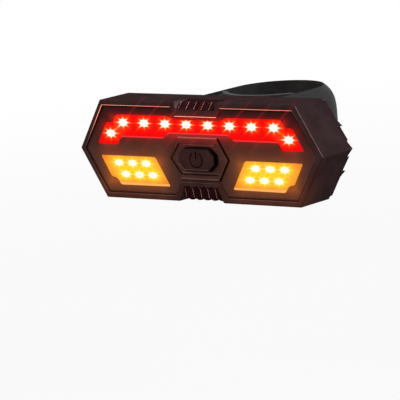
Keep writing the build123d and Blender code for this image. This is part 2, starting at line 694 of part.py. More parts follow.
def battery_cell():
    """Flat pouch cell with soft long edges and a flat end where its leads leave."""
    centre_y = FRONT_Y + BATTERY_FRONT + BATTERY_THICKNESS / 2
    profile = Rectangle(BATTERY_THICKNESS, 2 * BATTERY_HALF_HEIGHT)
    profile = fillet(profile.vertices(), BATTERY_EDGE)
    place = Plane((BATTERY_LEFT + BATTERY_CAP, centre_y, 0), x_dir=(0, 1, 0), z_dir=(1, 0, 0))
    body = extrude(place * profile, BATTERY_RIGHT - BATTERY_LEFT - BATTERY_CAP)
    cap_y = FRONT_Y + BATTERY_FRONT + BATTERY_EDGE / 2
    cap = block(BATTERY_LEFT, BATTERY_LEFT + BATTERY_CAP, cap_y, cap_y + BATTERY_CAP_THICKNESS,
                -BATTERY_HALF_HEIGHT + BATTERY_EDGE, BATTERY_HALF_HEIGHT - BATTERY_EDGE)
    return body + cap


def battery_pad():
    """Foam tape between the cell and the rear cover."""
    x0, x1 = BATTERY_LEFT + BATTERY_CAP + FOAM_INSET, BATTERY_RIGHT - FOAM_INSET
    half = BATTERY_HALF_HEIGHT - BATTERY_EDGE - FOAM_INSET
    return slab(Pos((x0 + x1) / 2, 0) * Rectangle(x1 - x0, 2 * half), FOAM_FRONT, COVER_INSIDE)


def lead_plug_x():
    """Left edge of the battery plug, midway between the socket and the cell."""
    room = BATTERY_LEFT - (PORT_X + USB_WIDTH / 2)
    return PORT_X + USB_WIDTH / 2 + (room - LEAD_PLUG_WIDTH) / 4


def lead_height():
    """Height at which the leads reach the cell."""
    return BATTERY_HALF_HEIGHT - BATTERY_EDGE - LEAD_PLUG_HEIGHT / 2


def battery_plug():
    """Plug and header on the back of the board."""
    x0 = lead_plug_x()
    outline = Pos(x0 + LEAD_PLUG_WIDTH / 2, lead_height()) * Rectangle(LEAD_PLUG_WIDTH, LEAD_PLUG_HEIGHT)
    lead_back = BATTERY_FRONT + (BATTERY_EDGE + BATTERY_CAP_THICKNESS) / 2 + LEAD_RADIUS
    return slab(outline, BOARD_BACK, lead_back + LEAD_PLUG_MARGIN)


def battery_leads():
    """Two short, straight leads from the plug to the cell's end."""
    x0, x1 = lead_plug_x() + LEAD_PLUG_WIDTH, BATTERY_LEFT
    y = FRONT_Y + BATTERY_FRONT + (BATTERY_EDGE + BATTERY_CAP_THICKNESS) / 2
    lead = Rotation(0, 90, 0) * Cylinder(LEAD_RADIUS, x1 - x0)
    return Compound(children=[Pos((x0 + x1) / 2, y, lead_height() + side * LEAD_SPREAD) * lead
                              for side in (-1, 1)])


def seal_ring(gap):
    """Outline of the seal, or of its groove where a gap is given."""
    outer = WALL / 2 + SEAL_GAP
    return hexagon(outer - gap) - hexagon(outer + SEAL_WIDTH + gap)


def housing_seal():
    """Rubber ring squeezed between the housing's back edge and the cover."""
    return slab(seal_ring(0), BEZEL_DEPTH - SEAL_THICKNESS, BEZEL_DEPTH)


def facet_x(z, inset):
    """Where the end facet, moved in by an inset, stands at a height."""
    return HALF_WIDTH - (inset + abs(z) * FACET_NORMAL_Z) / FACET_NORMAL_X


def grip_outline():
    """Rear cover's outline, with saw teeth for the fingers up its end facets."""
    upper = [(facet_x(z * HALF_HEIGHT, inset * COVER_INSET), z * HALF_HEIGHT)
             for z, inset in grip_tooth_shares]
    top = HALF_HEIGHT - COVER_INSET
    upper.append((facet_x(top, COVER_INSET), top))
    right = [(x, -z) for x, z in reversed(upper[1:])] + upper
    points = right + [(-x, z) for x, z in reversed(right)]
    return make_face(Polyline(*points, close=True))


def rear_cover():
    """Back of the housing: grip teeth, register, screw pillars and the slide rail."""
    body = slab(grip_outline(), COVER_FRONT, COVER_BACK - COVER_STEP)
    back = slab(hexagon(2 * COVER_INSET), COVER_FRONT, COVER_BACK)
    body += chamfer(back.faces().sort_by(Axis.Y)[-1].edges(), COVER_BEVEL)
    inner = hexagon(REGISTER_INSET + REGISTER_WALL)
    body -= slab(inner, COVER_FRONT - OVERRUN, COVER_INSIDE)
    register = hexagon(REGISTER_INSET) - inner
    register -= discs(CASE_BOSSES, CASE_BOSS_RADIUS + REGISTER_GAP)
    body += slab(register, REGISTER_FRONT, COVER_FRONT)
    clear = FLAP_WIDTH / 2 + TRUNNION_LENGTH + PORT_PAD_MARGIN + REGISTER_GAP
    body -= block(PORT_X - clear, PORT_X + clear, FRONT_Y + REGISTER_FRONT - OVERRUN,
                  FRONT_Y + COVER_FRONT, -HALF_HEIGHT, PORT_PAD_Z + REGISTER_GAP)
    pillars = discs(CASE_BOSSES, CASE_BOSS_RADIUS) & hexagon(REGISTER_INSET)
    body += slab(pillars, COVER_FRONT, COVER_INSIDE)
    body += slide_rail()
    body -= pins(CASE_BOSSES, CASE_SCREW_RADIUS + SCREW_CLEARANCE, COVER_FRONT - OVERRUN, COVER_BACK)
    return body - pins(CASE_BOSSES, CASE_HEAD_RADIUS + SCREW_CLEARANCE,
                       COVER_BACK - CASE_HEAD_SINK, COVER_BACK + OVERRUN)


def slide_rail():
    """T-shaped rail on the cover's back, its head bevelled where it enters the slot."""
    cover_back_y = FRONT_Y + COVER_BACK
    head_y = SLOT_FRONT_Y + RAIL_CLEARANCE
    neck = block(-RAIL_NECK_HALF, RAIL_NECK_HALF, cover_back_y - COVER_PLATE / 2, head_y,
                 -RAIL_HALF_LENGTH, RAIL_HALF_LENGTH)
    head = block(-RAIL_HEAD_HALF, RAIL_HEAD_HALF, head_y, head_y + RAIL_HEAD_DEPTH,
                 -RAIL_HALF_LENGTH, RAIL_HALF_LENGTH)
    corners = head.edges().filter_by(Axis.Y)
    return neck + chamfer(corners, RAIL_LEAD)


def screw(x, z, radius, tip, seat, head_radius, head_height):
    """Cap screw along the lamp's depth, its tip forward, with a hexagonal socket."""
    body = pin(x, z, radius, tip, seat) + pin(x, z, head_radius, seat, seat + head_height)
    socket = Pos(x, z) * RegularPolygon(DRIVE_RADIUS, 6)
    return body - slab(socket, seat + head_height - DRIVE_DEPTH, seat + head_height + OVERRUN)


def case_screws():
    """Screws through the rear cover in to the housing's bosses."""
    seat = COVER_BACK - CASE_HEAD_SINK
    return Compound(children=[
        screw(x, z, CASE_SCREW_RADIUS, CASE_SCREW_TIP, seat, CASE_HEAD_RADIUS, CASE_HEAD_HEIGHT)
        for x, z in CASE_BOSSES])


def board_screws():
    """Screws through the board in to the panel's posts."""
    return Compound(children=[
        screw(x, z, BOARD_SCREW_RADIUS, BOARD_FRONT - BOARD_SCREW_BITE, BOARD_BACK,
              BOARD_HEAD_RADIUS, BOARD_HEAD_HEIGHT)
        for x, z in board_screw_places()])


def bracket():
    """Saddle behind the lamp: rail slot in front, post's hollow behind, strap hooks beside."""
    half = POST_RADIUS
    front, wings = BRACKET_FRONT_Y, -BRACKET_WING_END
    points = [(half, wings), (half, front + BRACKET_CORNER), (half - BRACKET_CORNER, front),
              (BRACKET_CORNER - half, front), (-half, front + BRACKET_CORNER), (-half, wings)]
    body = column(Polygon(*points) - Circle(PAD_RADIUS), -BRACKET_HALF_HEIGHT, BRACKET_HALF_HEIGHT)
    head = RAIL_HEAD_HALF + RAIL_CLEARANCE
    neck = RAIL_NECK_HALF + RAIL_CLEARANCE
    top = BRACKET_HALF_HEIGHT + OVERRUN
    body -= block(-head, head, SLOT_FRONT_Y, SLOT_BACK_Y, -RAIL_HALF_LENGTH, top)
    body -= block(-neck, neck, front - OVERRUN, SLOT_FRONT_Y, -RAIL_HALF_LENGTH, top)
    return body + both_sides(strap_hook())


def strap_hook():
    """Hook on the bracket's side that passes through a slot in the strap."""
    crown = POST_RADIUS + STRAP_CROWN
    half_neck = SLOT_LENGTH / 2 - HOOK_PLAY
    half_height = SLOT_HALF_HEIGHT - HOOK_PLAY
    tip = crown + HOOK_PLAY + HOOK_LIP_THICKNESS
    y = -HOOK_DISTANCE
    neck = block(POST_RADIUS - OVERRUN, tip, y - half_neck, y + half_neck, -half_height, half_height)
    lip = block(crown + HOOK_PLAY, tip, y - half_neck - HOOK_LIP, y + half_neck, -half_height, half_height)
    return chamfer((neck + lip).edges().filter_by(Axis.Z).sort_by(Axis.X)[-2:], HOOK_LIP_THICKNESS / 2)


def bracket_pad():
    """Rubber pad between the bracket and the post."""
    ring = Circle(PAD_RADIUS) - Circle(POST_RADIUS)
    front = Pos(0, -PAD_END - PAD_RADIUS) * Rectangle(4 * PAD_RADIUS, 2 * PAD_RADIUS)
    return column(ring & front, -GRIP_HALF_HEIGHT, GRIP_HALF_HEIGHT)


def strap_section():
    """Crowned section of the strap, inner face on the post."""
    r, top = POST_RADIUS, GRIP_HALF_HEIGHT
    upper = [(r + STRAP_CROWN, STRAP_FLAT_HALF), (r + STRAP_EDGE, top - STRAP_BEVEL),
             (r + STRAP_LIP, top), (r, top)]
    lower = [(x, -z) for x, z in reversed(upper)]
    return Plane.XZ * make_face(Polyline(*(upper + lower), close=True))


def strap():
    """Ladder strap: half round the post, then forward along both sides to the hooks."""
    bend = revolve(strap_section(), Axis.Z, 180)
    leg = extrude(strap_section(), STRAP_LEG, dir=(0, -1, 0))
    end_y = -STRAP_LEG
    for side in (-1, 1):
        tip = Polygon((end_y - OVERRUN, GRIP_HALF_HEIGHT - STRAP_END_CUT - OVERRUN),
                      (end_y + STRAP_END_CUT + OVERRUN, GRIP_HALF_HEIGHT + OVERRUN),
                      (end_y - OVERRUN, GRIP_HALF_HEIGHT + OVERRUN))
        corner = extrude(Plane.YZ * tip, 3 * POST_RADIUS, dir=(1, 0, 0))
        leg -= corner if side > 0 else mirror(corner, about=Plane.XY)
    for number in range(LADDER_COUNT):
        y = -HOOK_DISTANCE + number * LADDER_PITCH
        leg -= block(POST_RADIUS - OVERRUN, POST_RADIUS + STRAP_CROWN + OVERRUN, y - SLOT_LENGTH / 2,
                     y + SLOT_LENGTH / 2, -SLOT_HALF_HEIGHT, SLOT_HALF_HEIGHT)
    return bend + both_sides(leg)


PIECES = {
    "front_bezel": front_bezel,
    "front_panel": front_panel,
    "red_lens": lambda: lens(red_window),
    "amber_lens_left": lambda: lens(left_window),
    "amber_lens_right": lambda: lens(right_window),
    "light_baffle": light_baffle,
    "circuit_board": circuit_board,
    "red_leds": red_leds,
    "amber_leds": amber_leds,
    "control_chips": chips,
    "radio_antenna": radio_antenna,
    "tact_switch": tact_switch,
    "switch_stem": switch_stem,
    "power_button": power_button,
    "usb_socket": usb_socket,
    "port_cover": port_cover,
    "battery_cell": battery_cell,
    "battery_pad": battery_pad,
    "battery_plug": battery_plug,
    "battery_leads": battery_leads,
    "housing_seal": housing_seal,
    "rear_cover": rear_cover,
    "case_screws": case_screws,
    "board_screws": board_screws,
    "bracket": bracket,
    "bracket_pad": bracket_pad,
    "strap": strap,
}

os.makedirs("parts", exist_ok=True)
for name, make in PIECES.items():
    export_step(make(), "parts/" + name + ".step")
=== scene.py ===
"""Bicycle turn signal light on its strapped bracket, dressed round its CAD frame.

Sizes are millimetres unless they say otherwise, and MM turns them to metres.
The origin is on the axis of the strap's bend at the lamp's mid-height. +Z is
up, the lamp faces -Y, and a depth is a distance behind the rim's front plane.
"""

import logging
import math
from dataclasses import dataclass
from enum import Enum
from functools import cached_property
from typing import Callable, Sequence

import bmesh
import bpy
from mathutils import Matrix, Vector


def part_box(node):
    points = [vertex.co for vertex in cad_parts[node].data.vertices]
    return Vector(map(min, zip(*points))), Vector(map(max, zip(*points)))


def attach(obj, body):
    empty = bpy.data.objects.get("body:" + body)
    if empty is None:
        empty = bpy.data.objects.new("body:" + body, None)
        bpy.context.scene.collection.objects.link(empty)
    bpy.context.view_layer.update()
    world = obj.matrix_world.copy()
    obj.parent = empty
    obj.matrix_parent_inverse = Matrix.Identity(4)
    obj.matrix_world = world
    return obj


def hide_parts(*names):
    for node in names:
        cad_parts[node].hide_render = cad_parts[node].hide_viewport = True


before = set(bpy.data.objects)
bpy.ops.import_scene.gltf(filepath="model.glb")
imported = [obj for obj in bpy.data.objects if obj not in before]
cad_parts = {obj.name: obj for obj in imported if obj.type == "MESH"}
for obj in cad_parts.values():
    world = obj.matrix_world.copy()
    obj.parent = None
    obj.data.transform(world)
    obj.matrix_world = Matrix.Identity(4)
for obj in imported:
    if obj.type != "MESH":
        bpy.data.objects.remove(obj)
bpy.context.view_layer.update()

log = logging.getLogger("turn_signal")

MM = 0.001
FRONT_Y = -42.95
SHARP_ANGLE = 35.0

Colour = tuple[float, float, float]
Point = tuple[float, float, float]
Pair = tuple[float, float]

BLACK: Colour = (0.0, 0.0, 0.0)
WHITE: Colour = (1.0, 1.0, 1.0)


class Body(Enum):
    """Bodies of the part that a piece can ride on."""

    BRACKET = "bracket"
    LAMP = "lamp"
    BUTTON = "button"
    FLAP = "port_flap"


class Slot(Enum):
    """Material slots named for the made pieces; keep() is given one but does not use it."""

    HOUSING = "housing"
    PANEL = "panel"
    BUTTON = "button"
    LED = "led"
    STEEL = "steel"
    BRACKET = "bracket"
    PAD = "pad_rubber"
    STRAP = "strap_rubber"
    PORT = "port_rubber"
    SEAL = "seal"
    FOAM = "foam"


@dataclass(frozen=True)
class Lamp:
    """Main sizes of the lamp's front, as the CAD source has them."""

    half_width: float = 48.0
    half_height: float = 15.8
    point_length: float = 9.4
    row_pitch: float = 8.525
    row_height: float = 8.595
    row_reach: float = 34.1
    end_x: float = 35.28
    end_z: float = 4.993
    amber_pitch: float = 5.568
    amber_upper: Pair = (21.744, -4.377)
    amber_lower: Pair = (19.248, -8.105)
    button_drop: float = 2.1

    @property
    def facet_normal(self) -> Pair:
        """Direction across the lamp, then up, that an end facet faces."""
        length = math.hypot(self.point_length, self.half_height)
        return self.half_height / length, self.point_length / length


@dataclass(frozen=True)
class Patch:
    """Rectangle on the right of the lamp's front, which stands for its mirror image too."""

    middle: Pair
    half: Pair


LAMP = Lamp()
RED_BAR = Patch((16.5, 7.7), (17.5, 2.7))
RED_END = Patch((35.7, 4.6), (1.6, 2.5))
RED_RIM = Patch((16.5, 7.7), (19.0, 2.7))
AMBER_WINDOW = Patch((26.3, -6.85), (10.2, 3.4))


def linear(red: float, green: float, blue: float) -> Colour:
    """Screen colour from 0 to 255 as the linear colour that a shader takes.

    Args:
        red, green, blue: channels as an image shows them.

    Returns:
        The three linear channels.
    """
    def channel(value: float) -> float:
        """One linear channel."""
        value /= 255
        return value / 12.92 if value <= 0.04045 else ((value + 0.055) / 1.055) ** 2.4

    return channel(red), channel(green), channel(blue)


def scaled(colour: Colour, share: float) -> Colour:
    """Colour with each channel times a share."""
    return tuple(part * share for part in colour)


class Value:
    """A shader number that can stand in an expression, which adds its Math nodes."""

    def __init__(self, shader: "Shader", socket: bpy.types.NodeSocket) -> None:
        """Wraps an output socket of a shader."""
        self.shader = shader
        self.socket = socket

    def maths(self, operation: str, *others: "Value | float") -> "Value":
        """This value with others, through one Math node."""
        return self.shader.maths(operation, self, *others)

    def __add__(self, other: "Value | float") -> "Value":
        """Sum."""
        return self.maths("ADD", other)

    __radd__ = __add__

    def __sub__(self, other: "Value | float") -> "Value":
        """Difference."""
        return self.maths("SUBTRACT", other)

    def __rsub__(self, other: "Value | float") -> "Value":
        """Difference from a number."""
        return self.shader.maths("SUBTRACT", other, self)

    def __mul__(self, other: "Value | float") -> "Value":
        """Product."""
        return self.maths("MULTIPLY", other)

    __rmul__ = __mul__

    def __truediv__(self, other: "Value | float") -> "Value":
        """Quotient."""
        return self.maths("DIVIDE", other)

    def __abs__(self) -> "Value":
        """Size without its sign."""
        return self.maths("ABSOLUTE")

    def exp(self) -> "Value":
        """The number e to this power."""
        return self.maths("EXPONENT")

    def root(self) -> "Value":
        """Square root."""
        return self.maths("SQRT")

    def at_least(self, other: "Value | float") -> "Value":
        """The larger of the two."""
        return self.maths("MAXIMUM", other)

    def at_most(self, other: "Value | float") -> "Value":
        """The smaller of the two."""
        return self.maths("MINIMUM", other)

    def ramp(self, low: float, high: float) -> "Value":
        """Smooth step from 0 at the low value to 1 at the high one."""
        return self.shader.add(
            "ShaderNodeMapRange", {"interpolation_type": "SMOOTHSTEP"},
            {"Value": self, "From Min": low, "From Max": high})

    def drop(self, low: float, high: float) -> "Value":
        """Smooth step from 1 at the low value to 0 at the high one."""
        return 1.0 - self.ramp(low, high)

    def fading(self, reach: float) -> "Value":
        """1 at 0, and less by a factor of e for each reach further."""
        return (self / -reach).exp()

    def parts(self) -> tuple["Value", "Value", "Value"]:
        """The three components of this vector."""
        outputs = self.shader.add("ShaderNodeSeparateXYZ", inputs={0: self}).socket.node.outputs
        return tuple(Value(self.shader, output) for output in outputs)

    def noise(self, size: float, detail: float = 2.0) -> "Value":
        """Even noise from 0 to 1 at this place, with lumps of a size in millimetres."""
        return self.shader.add("ShaderNodeTexNoise", inputs={
            "Vector": self, "Scale": 1 / size, "Detail": detail}, output="Fac")

    def cells(self, size: float) -> "Value":
        """Distance of this place from the nearest of an irregular set, over their spacing."""
        return self.shader.add("ShaderNodeTexVoronoi", inputs={
            "Vector": self, "Scale": 1 / size}, output="Distance")

    def bump(self, depth: float, strength: float = 1.0) -> "Value":
        """Normal tilted by this height from 0 to 1, which stands for a depth in millimetres."""
        return self.shader.add("ShaderNodeBump", inputs={
            "Height": self, "Distance": depth * MM, "Strength": strength})

    def blend(self, first: "Value | Colour", second: "Value | Colour") -> "Value":
        """Mix of two colours, with this share of the second."""
        return self.shader.add("ShaderNodeMix", {"data_type": "RGBA"},
                               {0: self, 6: first, 7: second}, 2)

    def with_light(self, other: "Value") -> "Value":
        """This colour with another added."""
        return self.shader.add("ShaderNodeMix", {"data_type": "RGBA", "blend_type": "ADD"},
                               {0: 1.0, 6: self, 7: other}, 2)

    def colours(self, stops: Sequence[tuple[float, Colour]]) -> "Value":
        """Colour that a ramp has at this share from 0 to 1."""
        return self.shader.add("ShaderNodeValToRGB", {"stops": stops}, {"Fac": self})


class Shader:
    """Node tree of one material or of the world, with the ways to add to it."""

    def __init__(self, name: str, world: bool = False) -> None:
        """Starts an empty tree.

        Args:
            name: the material's or the world's name.
            world: whether it is the world's.
        """
        self.owner = (bpy.data.worlds if world else bpy.data.materials).new(name)
        self.owner.use_nodes = True
        self.tree = self.owner.node_tree
        self.tree.nodes.clear()

    def add(self, kind: str, settings: dict | None = None, inputs: dict | None = None,
            output: int | str = 0) -> Value:
        """Adds one node.

        Args:
            kind: the node's type.
            settings: properties to set first; stops are a colour ramp's.
            inputs: value or link of each socket, by name or number.
            output: the output socket that is wanted.

        Returns:
            The wanted output.
        """
        node = self.tree.nodes.new(kind)
        for name, value in (settings or {}).items():
            if name == "stops":
                elements = node.color_ramp.elements
                while len(elements) < len(value):
                    elements.new(1.0)
                for element, (place, colour) in zip(elements, value):
                    element.position = place
                    element.color = (*colour, 1.0)
            else:
                setattr(node, name, value)
        for name, value in (inputs or {}).items():
            socket = node.inputs[name]
            if isinstance(value, Value):
                self.tree.links.new(value.socket, socket)
            elif socket.type == "RGBA" and len(value) == 3:
                socket.default_value = (*value, 1.0)
            else:
                socket.default_value = value
        return Value(self, node.outputs[output])

    def maths(self, operation: str, *values: "Value | float") -> Value:
        """One Math node on some values."""
        return self.add("ShaderNodeMath", {"operation": operation}, dict(enumerate(values)))

    def place(self) -> Value:
        """Object coordinates in millimetres, as a vector."""
        where = self.add("ShaderNodeTexCoord", output="Object")
        return self.add("ShaderNodeVectorMath", {"operation": "SCALE"},
                        {0: where, "Scale": 1 / MM})

    def surface(self, **inputs: "Value | float | Colour") -> bpy.types.Material:
        """Closes the tree with a Principled shader.

        Args:
            inputs: its sockets, their names with underscores for spaces.

        Returns:
            The finished material.
        """
        named = {name.replace("_", " "): value for name, value in inputs.items()}
        return self.close(self.add("ShaderNodeBsdfPrincipled", inputs=named))

    def in_view(self) -> Value:
        """1 for a ray from the camera, off gloss or through glass, and 0 for other rays.

        Returns:
            The share, 0 or 1.
        """
        rays = self.add("ShaderNodeLightPath", output="Is Camera Ray")
        glossy, through = (Value(self, rays.socket.node.outputs[name])
                           for name in ("Is Glossy Ray", "Is Transmission Ray"))
        return rays.at_least(glossy).at_least(through)

    def close(self, surface: Value) -> bpy.types.ID:
        """Ends the tree with a surface, and gives back what the tree belongs to.

        Args:
            surface: what the tree has made.

        Returns:
            The material or world that the tree belongs to.
        """
        kind = "World" if isinstance(self.owner, bpy.types.World) else "Material"
        end = self.tree.nodes.new(f"ShaderNodeOutput{kind}")
        self.tree.links.new(surface.socket, end.inputs["Surface"])
        return self.owner


class Glow:
    """Light of the windows, read from a place on the lamp: their glare on the windows, and the
    light and shade painted round them.
    """

    red_shape = (0.8, 1.15, 1.0)
    red_size = 1.15
    red_reach = 1.3
    red_ceiling = (10.5, 13.0)
    amber_shape = (0.74, 1.25, 0.7)
    amber_size = 1.08
    amber_reach = 2.0
    amber_far_reach = 9.0
    rim_depth = 0.8
    depth_reach = 4.5
    line_half = (0.08, 0.24)
    streak_slope = math.radians(41)
    streak_lean = 0.547
    streak_width = 0.2
    streak_reach = 5.5

    def __init__(self, where: Value) -> None:
        """Measures a place once for all of the masks.

        Args:
            where: the place in millimetres.
        """
        self.x, y, self.z = where.parts()
        self.side = abs(self.x)
        self.depth = y - FRONT_Y

    def beyond(self, patch: Patch) -> Value:
        """Distance outside a patch and its mirror image, 0 inside.

        Args:
            patch: a part of the front.

        Returns:
            The distance in millimetres.
        """
        across = (abs(self.side - patch.middle[0]) - patch.half[0]).at_least(0.0)
        up = (abs(self.z - patch.middle[1]) - patch.half[1]).at_least(0.0)
        return (across * across + up * up).root()

    def red(self) -> Value:
        """Red light of the long window painted beside it, from 0 to 1, weaker near the top as
        painted shade of the rim.
        """
        away = self.beyond(RED_BAR).at_most(self.beyond(RED_END))
        return away.fading(self.red_reach) * (1.0 - self.z.ramp(*self.red_ceiling) * 0.7)

    def amber(self, spread: float = 0.0) -> Value:
        """Amber light that falls beside the signal windows, from 0 to 1.

        Args:
            spread: share of it that reaches far.

        Returns:
            Its strength at the place.
        """
        away = self.beyond(AMBER_WINDOW)
        close = away.fading(self.amber_reach)
        return close + away.fading(self.amber_far_reach) * spread if spread else close

    def near(self) -> Value:
        """Fading of that light with depth behind the rim."""
        return (self.depth - self.rim_depth).at_least(0.0).fading(self.depth_reach)

    def edge(self) -> Value:
        """Distance in from the housing's outline.

        Returns:
            The distance in millimetres.
        """
        across, up = LAMP.facet_normal
        facet = (LAMP.half_width - self.side) * across - abs(self.z) * up
        return facet.at_most(LAMP.half_height - abs(self.z))

    def line(self, height: float, reach: float) -> Value:
        """Mask of a thin level painted highlight or shade line across the button or its boss, from
        0 to 1.

        Args:
            height: its place above the button's middle.
            reach: half its length.

        Returns:
            Its strength at the place.
        """
        away = abs(self.z + LAMP.button_drop - height)
        return away.drop(*self.line_half) * self.side.drop(reach - 0.3, reach)

    def in_row(self, across: Value) -> Value:
        """1 within the reach of the row of red lights."""
        return across.drop(LAMP.row_reach - 0.5, LAMP.row_reach)

    def star(self, across: Value, up: Value, size: float, shape: Point) -> tuple[Value, Value]:
        """Glare of one light: a wide round core with eight tapering arms, in a soft halo.

        Args:
            across, up: offset from the light's middle.
            size: radius of the core.
            shape: scale across, scale up and the arms' strength.

        Returns:
            The core with its arms, and the halo.
        """
        narrowing, raising, strength = shape
        across, up = across * narrowing, up * raising
        along = (across + up) * math.sqrt(0.5)
        aside = (across - up) * math.sqrt(0.5)
        square = across * across + up * up
        core = (square * square / -(size ** 4)).exp()
        arms = self.arm(across, up, 1.7 * size) + self.arm(up, across, 2.1 * size)
        arms = arms + self.arm(along, aside, 1.7 * size) + self.arm(aside, along, 2.0 * size)
        return core + arms * strength, square.root().fading(1.7 * size)

    def arm(self, thin: Value, long: Value, reach: float) -> Value:
        """A ray both ways from a light, which tapers as it fades."""
        taper = long * long * 5.0 + 2.0
        return (thin * thin * taper * -1.0 - long * long / (reach * reach)).exp()

    def red_lights(self) -> tuple[Value, Value]:
        """Glare of the row of red lights and of the lower one at each end.

        Returns:
            The core and the halo.
        """
        share = (self.x / LAMP.row_pitch).maths("FRACT")
        row, row_halo = self.star((share - 0.5) * LAMP.row_pitch, self.z - LAMP.row_height,
                                  self.red_size, self.red_shape)
        end, end_halo = self.star(self.side - LAMP.end_x, self.z - LAMP.end_z,
                                  self.red_size, self.red_shape)
        inside = self.in_row(self.side)
        return row * inside + end, row_halo * inside + end_halo

    def amber_lights(self) -> tuple[Value, Value]:
        """Glare of the two rows of lights in each amber window.

        Returns:
            The core and the halo.
        """
        total, halos = 0.0, 0.0
        for first, height in (LAMP.amber_upper, LAMP.amber_lower):
            share = ((self.side - first) / LAMP.amber_pitch + 0.5).maths("FLOOR")
            column = share.at_least(0.0).at_most(2.0)
            across = self.side - first - column * LAMP.amber_pitch
            core, halo = self.star(across, self.z - height, self.amber_size, self.amber_shape)
            total, halos = core + total, halo + halos
        return total, halos

    def streaks(self) -> Value:
        """Faint slanted rays of the red lights over what is round them.

        Returns:
            Their strength at the place.
        """
        height = self.z - LAMP.row_height
        shifted = (self.x - height / math.tan(self.streak_slope)
                   + self.depth * self.streak_lean) / LAMP.row_pitch
        pitch = LAMP.row_pitch * math.sin(self.streak_slope)
        aside = abs(shifted.maths("FRACT") - 0.5) * pitch
        far = abs(height) + abs(self.depth) * 0.25
        line = (aside / -self.streak_width - far / self.streak_reach).exp()
        low = (height * -1.0).drop(5.0, 11.0)
        return line * self.in_row(abs(shifted) * LAMP.row_pitch) * low * self.depth.drop(2.0, 12.0)


Inputs = dict[str, Value | float | Colour]


@dataclass(frozen=True)
class Finish:
    """A material that a few values describe."""

    name: str

    @cached_property
    def material(self) -> bpy.types.Material:
        """The material, built when it is first asked for."""
        shader = Shader(self.name)
        return shader.surface(**self.inputs(shader.place()))

    def inputs(self, where: Value) -> Inputs:
        """Works out the Principled shader's inputs.

        Args:
            where: the place in millimetres.

        Returns:
            Each input by its socket's name, with underscores for spaces.
        """
        raise NotImplementedError


@dataclass(frozen=True)
class MouldedPlastic(Finish):
    """Dark moulded plastic with a fine spark-eroded grain and slightly mottled colour, on which the
    windows' light, highlight and shade can be painted.
    """

    colour: Colour
    roughness: float = 0.5
    gloss: float = 0.3
    grain: float = 0.35
    grain_depth: float = 0.02
    # lit, rays and spread paint the windows' light on the plastic as glow
    lit: float = 0.0
    rays: float = 0.0
    # gap: inset where the painted shade in the gap round the panel starts, 0 for none
    gap: float = 0.0
    spread: float = 0.0
    depth_fades: bool = False
    # upper: colour towards the top, a painted shade of the rim over the panel
    upper: Colour | None = None
    # lines: painted highlight and shade lines, each a height above the button's middle, a half
    # length and a colour
    lines: tuple[tuple[float, float, Colour], ...] = ()
    sheen: Colour = WHITE
    # colours of the windows' light painted on the plastic as glow
    red_light: Colour = (0.32, 0.006, 0.006)
    amber_light: Colour = (0.26, 0.058, 0.002)
    # colour of the painted shade in the gap round the panel
    gap_shade_colour: Colour = (0.002, 0.001, 0.001)

    def inputs(self, where: Value) -> Inputs:
        """Grain and mottle, with painted highlight and shade lines, painted shade round the panel's
        gap and at its top, and the windows' light painted where it falls.

        Args:
            where: the place in millimetres.

        Returns:
            The surface's inputs.
        """
        glow = Glow(where)
        mottle = where.noise(6.0, 3.0)
        grain = where.noise(self.grain, 3.0)
        pale = tuple(min(1.0, part * 1.35 + 0.002) for part in self.colour)
        colour = mottle.ramp(0.3, 0.75).blend(self.colour, pale)
        # painted shade: darker towards the top, where the rim shades the panel
        if self.upper:
            colour = glow.z.ramp(-4.0, 11.0).blend(colour, self.upper)
        # painted highlight and shade lines along the boss's and button's edges
        for height, reach, painted_tone in self.lines:
            colour = glow.line(height, reach).blend(colour, painted_tone)
        found = {
            "Roughness": self.roughness + (grain - 0.5) * 0.22 + (mottle - 0.5) * 0.12,
            "Specular_IOR_Level": self.gloss, "Specular_Tint": self.sheen,
            "Normal": grain.bump(self.grain_depth, 0.6)}
        gap_shade_share = None
        # painted shade: darker in the gap round the panel, and the painted glow weaker there
        if self.gap:
            gap_shade_share = glow.edge().ramp(self.gap, self.gap + 0.7) * 0.85 + 0.15
            colour = gap_shade_share.blend(self.gap_shade_colour, colour)
        # the windows' light, painted on the plastic as glow
        if self.lit:
            found |= {"Emission_Color": self.light(glow, gap_shade_share),
                      "Emission_Strength": self.lit}
        return found | {"Base_Color": colour}

    def light(self, glow: Glow, gap_shade_share: Value | None) -> Value:
        """Light of the windows, painted on the plastic as glow.

        Args:
            glow: the windows' light at the place.
            gap_shade_share: 1 clear of the painted shade in the gap round the panel, where there is
                one.

        Returns:
            The light's colour.
        """
        red, amber = glow.red(), glow.amber(self.spread)
        if gap_shade_share is not None:
            red, amber = red * gap_shade_share, amber * gap_shade_share
        if self.depth_fades:
            red, amber = red * glow.near(), amber * glow.near()
        if self.rays:
            red = red + glow.streaks() * self.rays
        return red.at_most(1.0).blend(BLACK, self.red_light).with_light(
            amber.blend(BLACK, self.amber_light))


